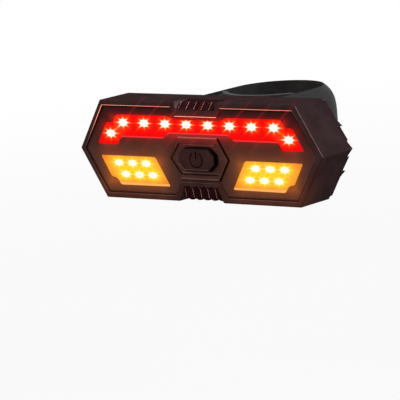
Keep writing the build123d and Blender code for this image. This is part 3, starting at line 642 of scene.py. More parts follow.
@dataclass(frozen=True)
class WornEdgeHighlight(Finish):
    """Slightly rubbed edge of moulded plastic, paler for wear and as a painted highlight, with the
    windows' light painted on it as glow.
    """

    colour: Colour
    lit: float = 1.0
    sheen: Colour = (0.6, 0.4, 0.4)
    red_light: Colour = (0.85, 0.24, 0.14)
    red_reach: float = 6.5
    amber_light: Colour = (0.08, 0.022, 0.004)

    def inputs(self, where: Value) -> Inputs:
        """Uneven wear, paler also as a painted highlight, with the windows' light painted on it as
        glow.

        Args:
            where: the place in millimetres.

        Returns:
            The surface's inputs.
        """
        glow = Glow(where)
        wear = where.noise(2.2, 3.0)
        # paler where rubbed, for wear and as a painted highlight
        colour = wear.ramp(0.25, 0.7).blend(scaled(self.colour, 0.45), self.colour)
        # the windows' light, painted on the edge as glow
        above = glow.z.ramp(0.0, 11.0) * glow.x.drop(36.0, 39.0)
        red = glow.beyond(RED_RIM).fading(self.red_reach) * above * glow.near()
        light = red.blend(BLACK, self.red_light).with_light(
            (glow.amber() * glow.near()).blend(BLACK, self.amber_light))
        return {"Base_Color": colour, "Roughness": 0.3 + wear * 0.2, "Specular_IOR_Level": 0.15,
                "Specular_Tint": self.sheen, "Emission_Strength": self.lit,
                "Emission_Color": light}


@dataclass(frozen=True)
class GlowingWindow(Finish):
    """Moulded window, lit from behind by lights that glare through it."""

    base: Colour
    # pale: colour of the painted highlight along the window's lower side
    pale: Colour
    stops: tuple[tuple[float, Colour], ...]
    unevenness: float

    def heat(self, glow: Glow) -> Value:
        """Brightness of the window, from 0 to 1 along its stops."""
        raise NotImplementedError

    def lower_highlight(self, glow: Glow) -> Value:
        """Share of the pale colour, a painted highlight along the window's lower side."""
        raise NotImplementedError

    def inputs(self, where: Value) -> Inputs:
        """Glare of the lights over fine ribs.

        Args:
            where: the place in millimetres.

        Returns:
            The surface's inputs.
        """
        glow = Glow(where)
        mottle = where.noise(1.4)
        heat = self.heat(glow) + (mottle - 0.5) * self.unevenness
        lit = heat.at_least(0.0).at_most(1.0).colours(self.stops)
        return {"Base_Color": self.base, "Roughness": 0.22 + mottle * 0.12,
                "Specular_IOR_Level": 0.03, "Normal": where.cells(0.9).bump(0.03, 0.4),
                # the pale lower side is a painted highlight
                "Emission_Color": self.lower_highlight(glow).blend(lit, self.pale),
                "Emission_Strength": 1.0}


@dataclass(frozen=True)
class RedWindow(GlowingWindow):
    """Long stepped window of the row of red lights."""

    base: Colour = (0.08, 0.001, 0.001)
    pale: Colour = linear(255, 84, 88)
    stops: tuple[tuple[float, Colour], ...] = (
        (0.0, linear(228, 2, 2)), (0.12, linear(246, 6, 3)), (0.26, linear(255, 56, 12)),
        (0.42, linear(255, 120, 55)), (0.58, linear(255, 214, 150)), (0.72, WHITE))
    unevenness: float = 0.03

    def heat(self, glow: Glow) -> Value:
        """Ten stars and their slanted rays."""
        core, halo = glow.red_lights()
        return core * 0.58 + halo * 0.6 + glow.streaks() * 0.16

    def lower_highlight(self, glow: Glow) -> Value:
        """Pale painted highlight line that steps down beside the middle."""
        low = 5.6 - glow.side.ramp(11.5, 13.6) * 1.65
        return (glow.z - low).drop(0.2, 0.5) * glow.side.drop(30.5, 31.5) * 0.38


@dataclass(frozen=True)
class AmberWindow(GlowingWindow):
    """Notched signal window of six amber lights."""

    base: Colour = (0.1, 0.03, 0.002)
    pale: Colour = linear(255, 186, 104)
    stops: tuple[tuple[float, Colour], ...] = (
        (0.0, linear(222, 108, 14)), (0.07, linear(242, 142, 40)), (0.19, linear(252, 182, 52)),
        (0.34, linear(253, 212, 36)), (0.55, linear(255, 240, 110)), (0.8, linear(255, 255, 242)))
    unevenness: float = 0.04

    def heat(self, glow: Glow) -> Value:
        """Stars of the six lights."""
        core, halo = glow.amber_lights()
        return core * 0.55 + halo * 0.62

    def lower_highlight(self, glow: Glow) -> Value:
        """Pale painted highlight along the lower side."""
        return glow.z.drop(-10.9, -10.5) * 0.75


@dataclass(frozen=True)
class Rubber(Finish):
    """Matt moulded rubber with a dusty bloom and fine flow marks."""

    colour: Colour
    bloom: Colour

    def inputs(self, where: Value) -> Inputs:
        """Dust in patches over a fine skin.

        Args:
            where: the place in millimetres.

        Returns:
            The surface's inputs.
        """
        dust = where.noise(4.5, 4.0)
        skin = where.noise(0.28)
        return {"Base_Color": dust.ramp(0.35, 0.8).blend(self.colour, self.bloom),
                "Roughness": 0.62 + (dust - 0.5) * 0.25, "Specular_IOR_Level": 0.15,
                "Normal": skin.bump(0.025, 0.6)}


@dataclass(frozen=True)
class BrushedSteel(Finish):
    """Zinc-plated steel with turning marks and a little tarnish."""

    colour: Colour = (0.62, 0.61, 0.60)
    tarnish: Colour = (0.36, 0.34, 0.32)

    def inputs(self, where: Value) -> Inputs:
        """Fine marks one way, and dull patches.

        Args:
            where: the place in millimetres.

        Returns:
            The surface's inputs.
        """
        dull = where.noise(1.6, 3.0)
        stretched = where.shader.add("ShaderNodeMapping", inputs={
            "Vector": where, "Scale": (1.0, 14.0, 1.0)})
        marks = stretched.noise(0.6)
        return {"Base_Color": dull.ramp(0.4, 0.8).blend(self.colour, self.tarnish),
                "Metallic": 1.0, "Roughness": 0.24 + marks * 0.2,
                "Normal": marks.bump(0.01, 0.5)}


@dataclass(frozen=True)
class SolderMask(Finish):
    """Green board with copper tracks under its mask and bare pads."""

    lane_pitch: float = 1.3
    pad_pitch: float = 2.4
    green: Colour = (0.006, 0.05, 0.02)
    raised: Colour = (0.014, 0.10, 0.035)
    copper: Colour = (0.55, 0.38, 0.16)

    def inputs(self, where: Value) -> Inputs:
        """Wandering tracks, with round pads strewn over them.

        Args:
            where: the place in millimetres.

        Returns:
            The surface's inputs.
        """
        _, _, z = where.parts()
        wander = where.noise(9.0, 1.0) * 4.0
        lanes = abs(((z + wander) / self.lane_pitch).maths("FRACT") - 0.5)
        track = lanes.drop(0.12, 0.17)
        pad = where.cells(self.pad_pitch).drop(0.13, 0.17)
        green = track.blend(self.green, self.raised)
        return {"Base_Color": pad.blend(green, self.copper), "Metallic": pad,
                "Roughness": 0.3 + track * 0.12, "Normal": (track + pad).bump(0.035, 0.7)}


@dataclass(frozen=True)
class Phosphor(Finish):
    """Phosphor of the surface-mounted lights, red above and amber below."""

    dull: Colour = (0.55, 0.42, 0.2)
    pale: Colour = (0.8, 0.7, 0.5)
    amber: Colour = linear(255, 205, 90)
    red: Colour = linear(255, 120, 90)

    def inputs(self, where: Value) -> Inputs:
        """Grainy and glowing.

        Args:
            where: the place in millimetres.

        Returns:
            The surface's inputs.
        """
        _, _, z = where.parts()
        grain = where.noise(0.3)
        return {"Base_Color": grain.blend(self.dull, self.pale),
                "Roughness": 0.25 + grain * 0.2, "Emission_Strength": 2.0,
                "Emission_Color": z.ramp(0.0, 1.0).blend(self.amber, self.red)}


@dataclass(frozen=True)
class Pouch(Finish):
    """Foil pouch of the cell, creased along its seams."""

    valley_shade: Colour = (0.42, 0.43, 0.45)
    crest_highlight: Colour = (0.62, 0.63, 0.64)

    def inputs(self, where: Value) -> Inputs:
        """Broad creases, darker in their hollows as painted shade and paler on their ridges as
        painted highlight, and a fine shine.

        Args:
            where: the place in millimetres.

        Returns:
            The surface's inputs.
        """
        creases = where.noise(3.2, 4.0)
        fine = where.noise(0.5)
        # painted shade in the creases' hollows and painted highlight on their ridges
        colour = creases.ramp(0.3, 0.7).blend(self.valley_shade, self.crest_highlight)
        return {"Base_Color": colour, "Metallic": 0.85, "Roughness": 0.28 + fine * 0.2,
                "Normal": creases.bump(0.25, 0.6)}


@dataclass(frozen=True)
class Foam(Finish):
    """Closed-cell foam."""

    colour: Colour
    cell: float = 0.45

    def inputs(self, where: Value) -> Inputs:
        """Pores darker than the paler skin, as painted shade in them.

        Args:
            where: the place in millimetres.

        Returns:
            The surface's inputs.
        """
        pores = where.cells(self.cell)
        # painted shade in the pores
        colour = pores.ramp(0.1, 0.6).blend(scaled(self.colour, 0.4), self.colour)
        return {"Base_Color": colour, "Roughness": 0.8 + pores * 0.15, "Specular_IOR_Level": 0.2,
                "Normal": pores.bump(0.12, 0.8)}


@dataclass(frozen=True)
class WireSleeve(Finish):
    """Insulation of the two leads, one red and one black."""

    black: Colour = (0.012, 0.012, 0.013)
    red: Colour = (0.45, 0.012, 0.01)

    def inputs(self, where: Value) -> Inputs:
        """Red above the leads' middle height and black below.

        Args:
            where: the place in millimetres.

        Returns:
            The surface's inputs.
        """
        _, _, z = where.parts()
        low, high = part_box("battery_leads")
        middle = (low.z + high.z) / 2 / MM
        skin = where.noise(0.4)
        colour = z.ramp(middle - 0.05, middle + 0.05).blend(self.black, self.red)
        return {"Base_Color": colour, "Roughness": 0.35 + skin * 0.15, "Specular_IOR_Level": 0.4,
                "Normal": skin.bump(0.01, 0.5)}


@dataclass(frozen=True)
class TinnedStrip(Finish):
    """Tinned metal strip, lightly scratched."""

    colour: Colour

    def inputs(self, where: Value) -> Inputs:
        """Scratches that darken and dull.

        Args:
            where: the place in millimetres.

        Returns:
            The surface's inputs.
        """
        scratch = where.noise(0.35, 3.0)
        return {"Base_Color": scratch.blend(self.colour, scaled(self.colour, 0.7)),
                "Metallic": 1.0, "Roughness": 0.22 + scratch * 0.25}


class Finishes:
    """Every finish of the lamp, by what it dresses."""

    body = (0.033, 0.0170, 0.0182)
    maroon = (0.3, 0.14, 0.15)
    # painted highlight and painted shade lines along the edges of the boss and the button
    painted_highlight = (0.17, 0.078, 0.078)
    shadow = (0.006, 0.003, 0.003)
    boss_painted_lines = ((-6.3, 7.7, painted_highlight), (-5.0, 7.5, shadow), (-4.5, 7.2, painted_highlight),
                  (4.5, 6.4, painted_highlight))
    button_painted_lines = ((-3.3, 4.7, painted_highlight),)

    # the windows' light and the red lights' slanted rays, painted on the housing as glow
    housing = MouldedPlastic(
        "housing_plastic", body, 0.5, 0.0, lit=1.0, rays=0.8, spread=0.10,
        depth_fades=True, sheen=maroon)
    # edges paler for wear and as a painted highlight, with the windows' light painted on them as
    # glow
    housing_edge_highlight = WornEdgeHighlight("housing_edge_highlight", (0.16, 0.085, 0.084), 4.2)
    # the grip pocket's left wall, paler as a painted highlight
    pocket_wall_highlight = WornEdgeHighlight("pocket_wall_highlight", (0.13, 0.070, 0.076), 0.0)
    grip = MouldedPlastic("grip_plastic", (0.028, 0.0042, 0.005), 0.5, 0.0)
    # painted highlight lines on the grip bars' flanks
    grip_edge_highlight = WornEdgeHighlight("grip_edge_highlight", (0.55, 0.32, 0.32), 0.1)
    # the windows' light and rays painted on the panel as glow, painted shade in its gap and at its
    # top, and painted highlight and shade lines
    panel = MouldedPlastic(
        "panel_plastic", (0.054, 0.0245, 0.0220), 0.42, 0.08, grain=0.25, lit=1.0, rays=1.1,
        gap=1.9, spread=0.09, sheen=maroon, upper=(0.024, 0.0080, 0.0078),
        lines=boss_painted_lines)
    # panel edges facing up to the lights: paler as a painted highlight, with the windows' light
    # painted as glow
    panel_edge_highlight = WornEdgeHighlight("panel_edge_highlight", (0.13, 0.05, 0.040), 0.75)
    panel_shade = MouldedPlastic("panel_shade", (0.008, 0.003, 0.003), 0.5, 0.04, sheen=maroon)
    # the windows' light painted on the button as glow, and a painted highlight line
    button = MouldedPlastic(
        "button_plastic", (0.032, 0.0130, 0.0122), 0.5, 0.08, grain=0.2, lit=0.5,
        sheen=maroon, lines=button_painted_lines)
    # painted highlight on the button's lower cut corner
    button_edge_highlight = WornEdgeHighlight("button_edge_highlight", (0.55, 0.24, 0.23), 0.4)
    # painted shade in the groove of the power mark
    mark = MouldedPlastic("mark_groove_shade", (0.0035, 0.0018, 0.0018), 0.6, 0.04, sheen=maroon)
    bracket = MouldedPlastic("bracket_plastic", (0.018, 0.015, 0.015), 0.5, 0.15)
    # bracket edges paler, for wear and as a painted highlight
    bracket_edge_highlight = WornEdgeHighlight("bracket_edge_highlight", (0.075, 0.068, 0.068), 0.0)
    red = RedWindow("red_window")
    amber = AmberWindow("amber_window")
    led = Phosphor("led_phosphor")
    # the windows' light painted on the baffle as glow
    baffle = MouldedPlastic("baffle_plastic", (0.015, 0.014, 0.014), 0.65, 0.3, lit=0.4)
    board = SolderMask("solder_mask")
    chip = MouldedPlastic("chip_epoxy", (0.012, 0.012, 0.013), 0.45, 0.4, grain=0.15)
    antenna = TinnedStrip("antenna_tin", (0.72, 0.66, 0.52))
    switch = MouldedPlastic("switch_plastic", (0.03, 0.03, 0.032), 0.4, 0.45)
    steel = BrushedSteel("zinc_steel")
    port = Rubber("port_rubber", (0.014, 0.012, 0.012), (0.028, 0.024, 0.023))
    cell = Pouch("cell_pouch")
    foam = Foam("foam_tape", (0.05, 0.05, 0.055))
    plug = MouldedPlastic("plug_nylon", (0.72, 0.70, 0.64), 0.4, 0.5)
    lead = WireSleeve("wire_sleeve")
    seal = Rubber("seal_rubber", (0.10, 0.012, 0.010), (0.15, 0.02, 0.016))
    pad = Rubber("pad_rubber", (0.020, 0.019, 0.019), (0.038, 0.036, 0.036))
    strap = Rubber("strap_rubber", (0.0100, 0.0078, 0.0082), (0.020, 0.0165, 0.017))


def put(name: str, data: bpy.types.ID) -> bpy.types.Object:
    """New object in the scene, at the origin.

    Args:
        name: the object's name.
        data: its mesh, curve, camera or lamp.

    Returns:
        The new object.
    """
    obj = bpy.data.objects.new(name, data)
    bpy.context.scene.collection.objects.link(obj)
    return obj


def plain(obj: bpy.types.Object) -> bpy.types.Object:
    """Applies an object's modifiers, so that a plain mesh is left.

    Args:
        obj: the object, at the origin.

    Returns:
        The same object, or a new one with its name in place of a curve.
    """
    bpy.context.view_layer.update()
    graph = bpy.context.evaluated_depsgraph_get()
    mesh = bpy.data.meshes.new_from_object(obj.evaluated_get(graph), depsgraph=graph)
    mesh.name = name = obj.name
    if obj.type == "MESH":
        obj.modifiers.clear()
        obj.data = mesh
        return obj
    bpy.data.objects.remove(obj)
    return put(name, mesh)


def smooth(obj: bpy.types.Object, angle: float = SHARP_ANGLE) -> None:
    """Shades an object smooth up to an angle, with flat faces kept flat.

    Args:
        obj: a mesh object.
        angle: degrees past which an edge is sharp.
    """
    obj.data.polygons.foreach_set("use_smooth", [True] * len(obj.data.polygons))
    obj.data.set_sharp_from_angle(angle=math.radians(angle))
    obj.modifiers.new("weigh", "WEIGHTED_NORMAL").keep_sharp = True
    plain(obj)


def keep(obj: bpy.types.Object, body: Body, slot: Slot, *nodes: str) -> None:
    """Lets a finished piece ride on its body in place of its CAD nodes.

    Args:
        obj: the piece.
        body: what it moves with.
        slot: not used.
        nodes: CAD nodes that it stands for.
    """
    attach(obj, body.value)
    if nodes:
        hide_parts(*nodes)
    log.info("%s rides on %s with %d faces", obj.name, body.value, len(obj.data.polygons))


def dress(**finishes: Finish) -> None:
    """Gives CAD nodes, which keep their shapes, their finishes.

    Args:
        finishes: each node's finish, by the node's name.
    """
    for node, finish in finishes.items():
        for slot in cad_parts[node].material_slots:
            slot.material = finish.material
        log.info("%s keeps its CAD shape", node)


@dataclass(frozen=True)
class Softening:
    """How the edges of a copied CAD node are rounded."""

    width: float
    angle: float = 30.0
    segments: int = 2
    # whether the rounded faces take the second finish, paler for wear and as a painted highlight
    worn_highlight: bool = True
    chosen: Callable[[Vector, Vector], bool] = lambda middle, along: True


Choice = Callable[[Vector, Vector, int], int]


def softened(name: str, node: str, body: Body, slot: Slot, passes: Sequence[Softening],
             *finishes: Finish, choice: Choice | None = None) -> bpy.types.Object:
    """Puts a copy of a CAD node with its edges rounded in the node's place.

    Args:
        name: the new piece's name.
        node: the CAD node to copy and replace.
        body: what the piece moves with.
        slot: the material slot of its finish, handed on to keep(), which does not use it.
        passes: one rounding after another.
        finishes: the main finish, that of the rounded edges, paler for wear and as a painted
            highlight, and any more.
        choice: gives a face's finish by number from its middle in millimetres, its
            normal and the number that the roundings left it.

    Returns:
        The new object.
    """
    form = bmesh.new()
    form.from_mesh(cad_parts[node].data)
    bmesh.ops.remove_doubles(form, verts=form.verts, dist=2e-6)
    for face in form.faces:
        face.material_index = 0
    bmesh.ops.dissolve_limit(form, angle_limit=math.radians(1.0), verts=form.verts,
                             edges=form.edges)
    for turn in passes:
        edges = [e for e in form.edges
                 if e.is_manifold and e.calc_face_angle(0.0) > math.radians(turn.angle)
                 and turn.chosen((e.verts[0].co + e.verts[1].co) / 2 / MM,
                                 (e.verts[0].co - e.verts[1].co) / MM)]
        # rounded faces of a pass that asks for it take the second finish, paler for wear and as a
        # painted highlight
        bmesh.ops.bevel(form, geom=edges, offset=turn.width * MM, offset_type="OFFSET",
                        segments=turn.segments, profile=0.5, affect="EDGES",
                        clamp_overlap=True, material=int(turn.worn_highlight))
    bmesh.ops.dissolve_degenerate(form, dist=1e-6, edges=form.edges)
    form.normal_update()
    if choice:
        for face in form.faces:
            face.material_index = choice(face.calc_center_median() / MM, face.normal,
                                         face.material_index)
    obj = put(name, bpy.data.meshes.new(name))
    form.to_mesh(obj.data)
    form.free()
    for finish in finishes:
        obj.data.materials.append(finish.material)
    smooth(obj)
    keep(obj, body, slot, node)
    return obj


Socket = bpy.types.NodeSocket
Number = Socket | float


class Rule:
    """Geometry Nodes tree that makes a piece by a rule, in metres."""

    def __init__(self, name: str, sizes: dict[str, float]) -> None:
        """Starts a tree with a geometry input and named sizes.

        Args:
            name: the piece's name.
            sizes: each size in millimetres, by its socket's name.
        """
        self.name = name
        self.sizes = {label: size * MM for label, size in sizes.items()}
        self.tree = bpy.data.node_groups.new(name, "GeometryNodeTree")
        face = self.tree.interface
        face.new_socket(name="Geometry", in_out="INPUT", socket_type="NodeSocketGeometry")
        for label in sizes:
            face.new_socket(name=label, in_out="INPUT", socket_type="NodeSocketFloat")
        face.new_socket(name="Geometry", in_out="OUTPUT", socket_type="NodeSocketGeometry")
        self.entry = self.tree.nodes.new("NodeGroupInput")

    def given(self, label: str = "Geometry") -> Socket:
        """Input of the tree by its name."""
        return self.entry.outputs[label]

    def add(self, kind: str, settings: dict | None = None, inputs: dict | None = None,
            output: int | str = 0) -> Socket:
        """Adds one node.

        Args:
            kind: the node's type.
            settings: properties to set first.
            inputs: value or link of each socket, by name or number.
            output: the output socket that is wanted.

        Returns:
            The wanted output.
        """
        node = self.tree.nodes.new(kind)
        for name, value in (settings or {}).items():
            setattr(node, name, value)
        for name, value in (inputs or {}).items():
            for link in value if isinstance(value, list) else [value]:
                if isinstance(link, Socket):
                    self.tree.links.new(link, node.inputs[name])
                else:
                    node.inputs[name].default_value = link
        return node.outputs[output]

    def maths(self, operation: str, *values: Number) -> Socket:
        """One Math node on some numbers."""
        return self.add("ShaderNodeMath", {"operation": operation}, dict(enumerate(values)))

    def times(self, first: Number, second: Number) -> Socket:
        """Product of two numbers."""
        return self.maths("MULTIPLY", first, second)

    def vector(self, x: Number = 0.0, y: Number = 0.0, z: Number = 0.0) -> Socket:
        """Vector from three numbers."""
        return self.add("ShaderNodeCombineXYZ", inputs={0: x, 1: y, 2: z})

    def block(self, x: Number, y: Number, z: Number) -> Socket:
        """Box of a size."""
        return self.add("GeometryNodeMeshCube", inputs={"Size": self.vector(x, y, z)},
                        output="Mesh")

    def cone(self, sides: int, top: Number, bottom: Number, depth: Number) -> Socket:
        """Cone frustum or prism that stands on its origin."""
        return self.add("GeometryNodeMeshCone", inputs={
            "Vertices": sides, "Radius Top": top, "Radius Bottom": bottom, "Depth": depth},
            output="Mesh")

    def row(self, count: int, first: Socket, step: Socket) -> Socket:
        """Points at equal steps."""
        return self.add("GeometryNodeMeshLine", inputs={
            "Count": count, "Start Location": first, "Offset": step})

    def swept(self, path: Socket, profile: Socket) -> Socket:
        """Solid that a profile makes along a path.

        Args:
            path: the curve to follow.
            profile: the outline, which is closed first.

        Returns:
            The closed mesh.
        """
        closed = self.add("GeometryNodeSetSplineCyclic", inputs={
            "Geometry": profile, "Cyclic": True})
        return self.add("GeometryNodeCurveToMesh", inputs={
            "Curve": path, "Profile Curve": closed, "Fill Caps": True})

    def moved(self, geometry: Socket, **inputs: object) -> Socket:
        """Geometry with a Translation, Rotation or Scale."""
        return self.add("GeometryNodeTransform", inputs={"Geometry": geometry, **inputs})

    def lifted(self, geometry: Socket, height: Number) -> Socket:
        """Geometry moved up."""
        return self.moved(geometry, Translation=self.vector(z=height))

    def at_points(self, points: Socket, shape: Socket) -> Socket:
        """A shape at each of some points."""
        return self.add("GeometryNodeInstanceOnPoints", inputs={
            "Points": points, "Instance": shape})

    def real(self, geometry: Socket) -> Socket:
        """Geometry with its instances turned to real meshes."""
        return self.add("GeometryNodeRealizeInstances", inputs={"Geometry": geometry})

    def boolean(self, operation: str, **inputs: object) -> Socket:
        """Exact union or difference of some meshes."""
        named = {name.replace("_", " "): value for name, value in inputs.items()}
        return self.add("GeometryNodeMeshBoolean", {"operation": operation, "solver": "EXACT"},
                        named, "Mesh")

    def cut(self, shape: Socket, *cutters: Socket) -> Socket:
        """A shape less some others."""
        return self.boolean("DIFFERENCE", Mesh_1=shape, Mesh_2=list(cutters))

    def fused(self, *shapes: Socket) -> Socket:
        """Shapes as one closed shell."""
        return self.boolean("UNION", Mesh_2=list(shapes))

    def joined(self, *shapes: Socket) -> Socket:
        """Shapes as one geometry."""
        return self.add("GeometryNodeJoinGeometry", inputs={"Geometry": list(shapes)})

    def grow(self, shape: Socket, start: bpy.types.ID, finish: Finish,
             angle: float = SHARP_ANGLE) -> bpy.types.Object:
        """Ends the tree and turns its result into a plain mesh.

        Args:
            shape: what the tree has made.
            start: mesh or curve that the tree is given.
            finish: the piece's finish.
            angle: edges sharper than this many degrees stay sharp.

        Returns:
            The new object.
        """
        dressed = self.add("GeometryNodeSetMaterial", inputs={
            "Geometry": self.real(shape), "Material": finish.material})
        self.tree.links.new(dressed, self.tree.nodes.new("NodeGroupOutput").inputs["Geometry"])
        obj = put(self.name, start)
        modifier = obj.modifiers.new("rule", "NODES")
        modifier.node_group = self.tree
        for socket in self.tree.interface.items_tree:
            if socket.in_out == "INPUT" and socket.name in self.sizes:
                modifier[socket.identifier] = self.sizes[socket.name]
        obj = plain(obj)
        face_out(obj)
        smooth(obj, angle)
        return obj


def face_out(obj: bpy.types.Object) -> None:
    """Merges doubles and turns every face of a closed mesh outwards.

    Args:
        obj: a mesh object.
    """
    form = bmesh.new()
    form.from_mesh(obj.data)
    bmesh.ops.remove_doubles(form, verts=form.verts, dist=1e-7)
    bmesh.ops.recalc_face_normals(form, faces=form.faces)
    form.to_mesh(obj.data)
    form.free()


def dots(name: str, places: Sequence[Point]) -> bpy.types.Mesh:
    """Mesh of loose points, given in millimetres.

    Args:
        name: the mesh's name.
        places: the points in millimetres.

    Returns:
        The new mesh.
    """
    mesh = bpy.data.meshes.new(name)
    mesh.from_pydata([scaled(place, MM) for place in places], [], [])
    return mesh


def track(name: str, places: Sequence[Point]) -> bpy.types.Curve:
    """Open run of straight lines through places in millimetres.

    Args:
        name: the curve's name.
        places: its points in millimetres.

    Returns:
        The new curve.
    """
    curve = bpy.data.curves.new(name, "CURVE")
    curve.dimensions = "3D"
    spline = curve.splines.new("POLY")
    spline.points.add(len(places) - 1)
    for point, place in zip(spline.points, places):
        point.co = (*scaled(place, MM), 1.0)
    return curve


@dataclass(frozen=True)
class CapScrew:
    """Screw with a bevelled head and a hexagonal socket, its head to the back."""

    head_radius: float
    head_height: float
    shank_radius: float
    shank_length: float
    bevel_share: float = 0.22
    top_share: float = 0.86
    socket_share: float = 0.46
    socket_floor: float = 0.45
    taper: float = 0.8
    sides: int = 40
    shank_sides: int = 24

    def make(self, name: str, places: Sequence[Point], node: str) -> None:
        """Makes one piece of several screws.

        Args:
            name: the piece's name.
            places: where each head sits.
            node: the CAD node that they stand for.
        """
        rule = Rule(name, {"Head Radius": self.head_radius, "Head Height": self.head_height,
                           "Shank Radius": self.shank_radius, "Shank Length": self.shank_length})
        radius, height = rule.given("Head Radius"), rule.given("Head Height")
        shank, length = rule.given("Shank Radius"), rule.given("Shank Length")
        straight = rule.times(height, 1 - self.bevel_share)
        lower = rule.cone(self.sides, radius, radius, straight)
        upper = rule.lifted(rule.cone(self.sides, rule.times(radius, self.top_share), radius,
                                      rule.times(height, self.bevel_share)), straight)
        key = rule.times(radius, self.socket_share)
        socket = rule.lifted(rule.cone(6, key, key, height), rule.times(height, self.socket_floor))
        tip = rule.times(shank, self.taper)
        stem = rule.lifted(rule.cone(self.shank_sides, shank, tip, length),
                           rule.times(length, -1.0))
        whole = rule.cut(rule.fused(lower, upper, stem), socket)
        turned = rule.moved(whole, Rotation=(-math.pi / 2, 0.0, 0.0))
        obj = rule.grow(rule.at_points(rule.given(), turned), dots(name, places), Finishes.steel)
        keep(obj, Body.LAMP, Slot.STEEL, node)


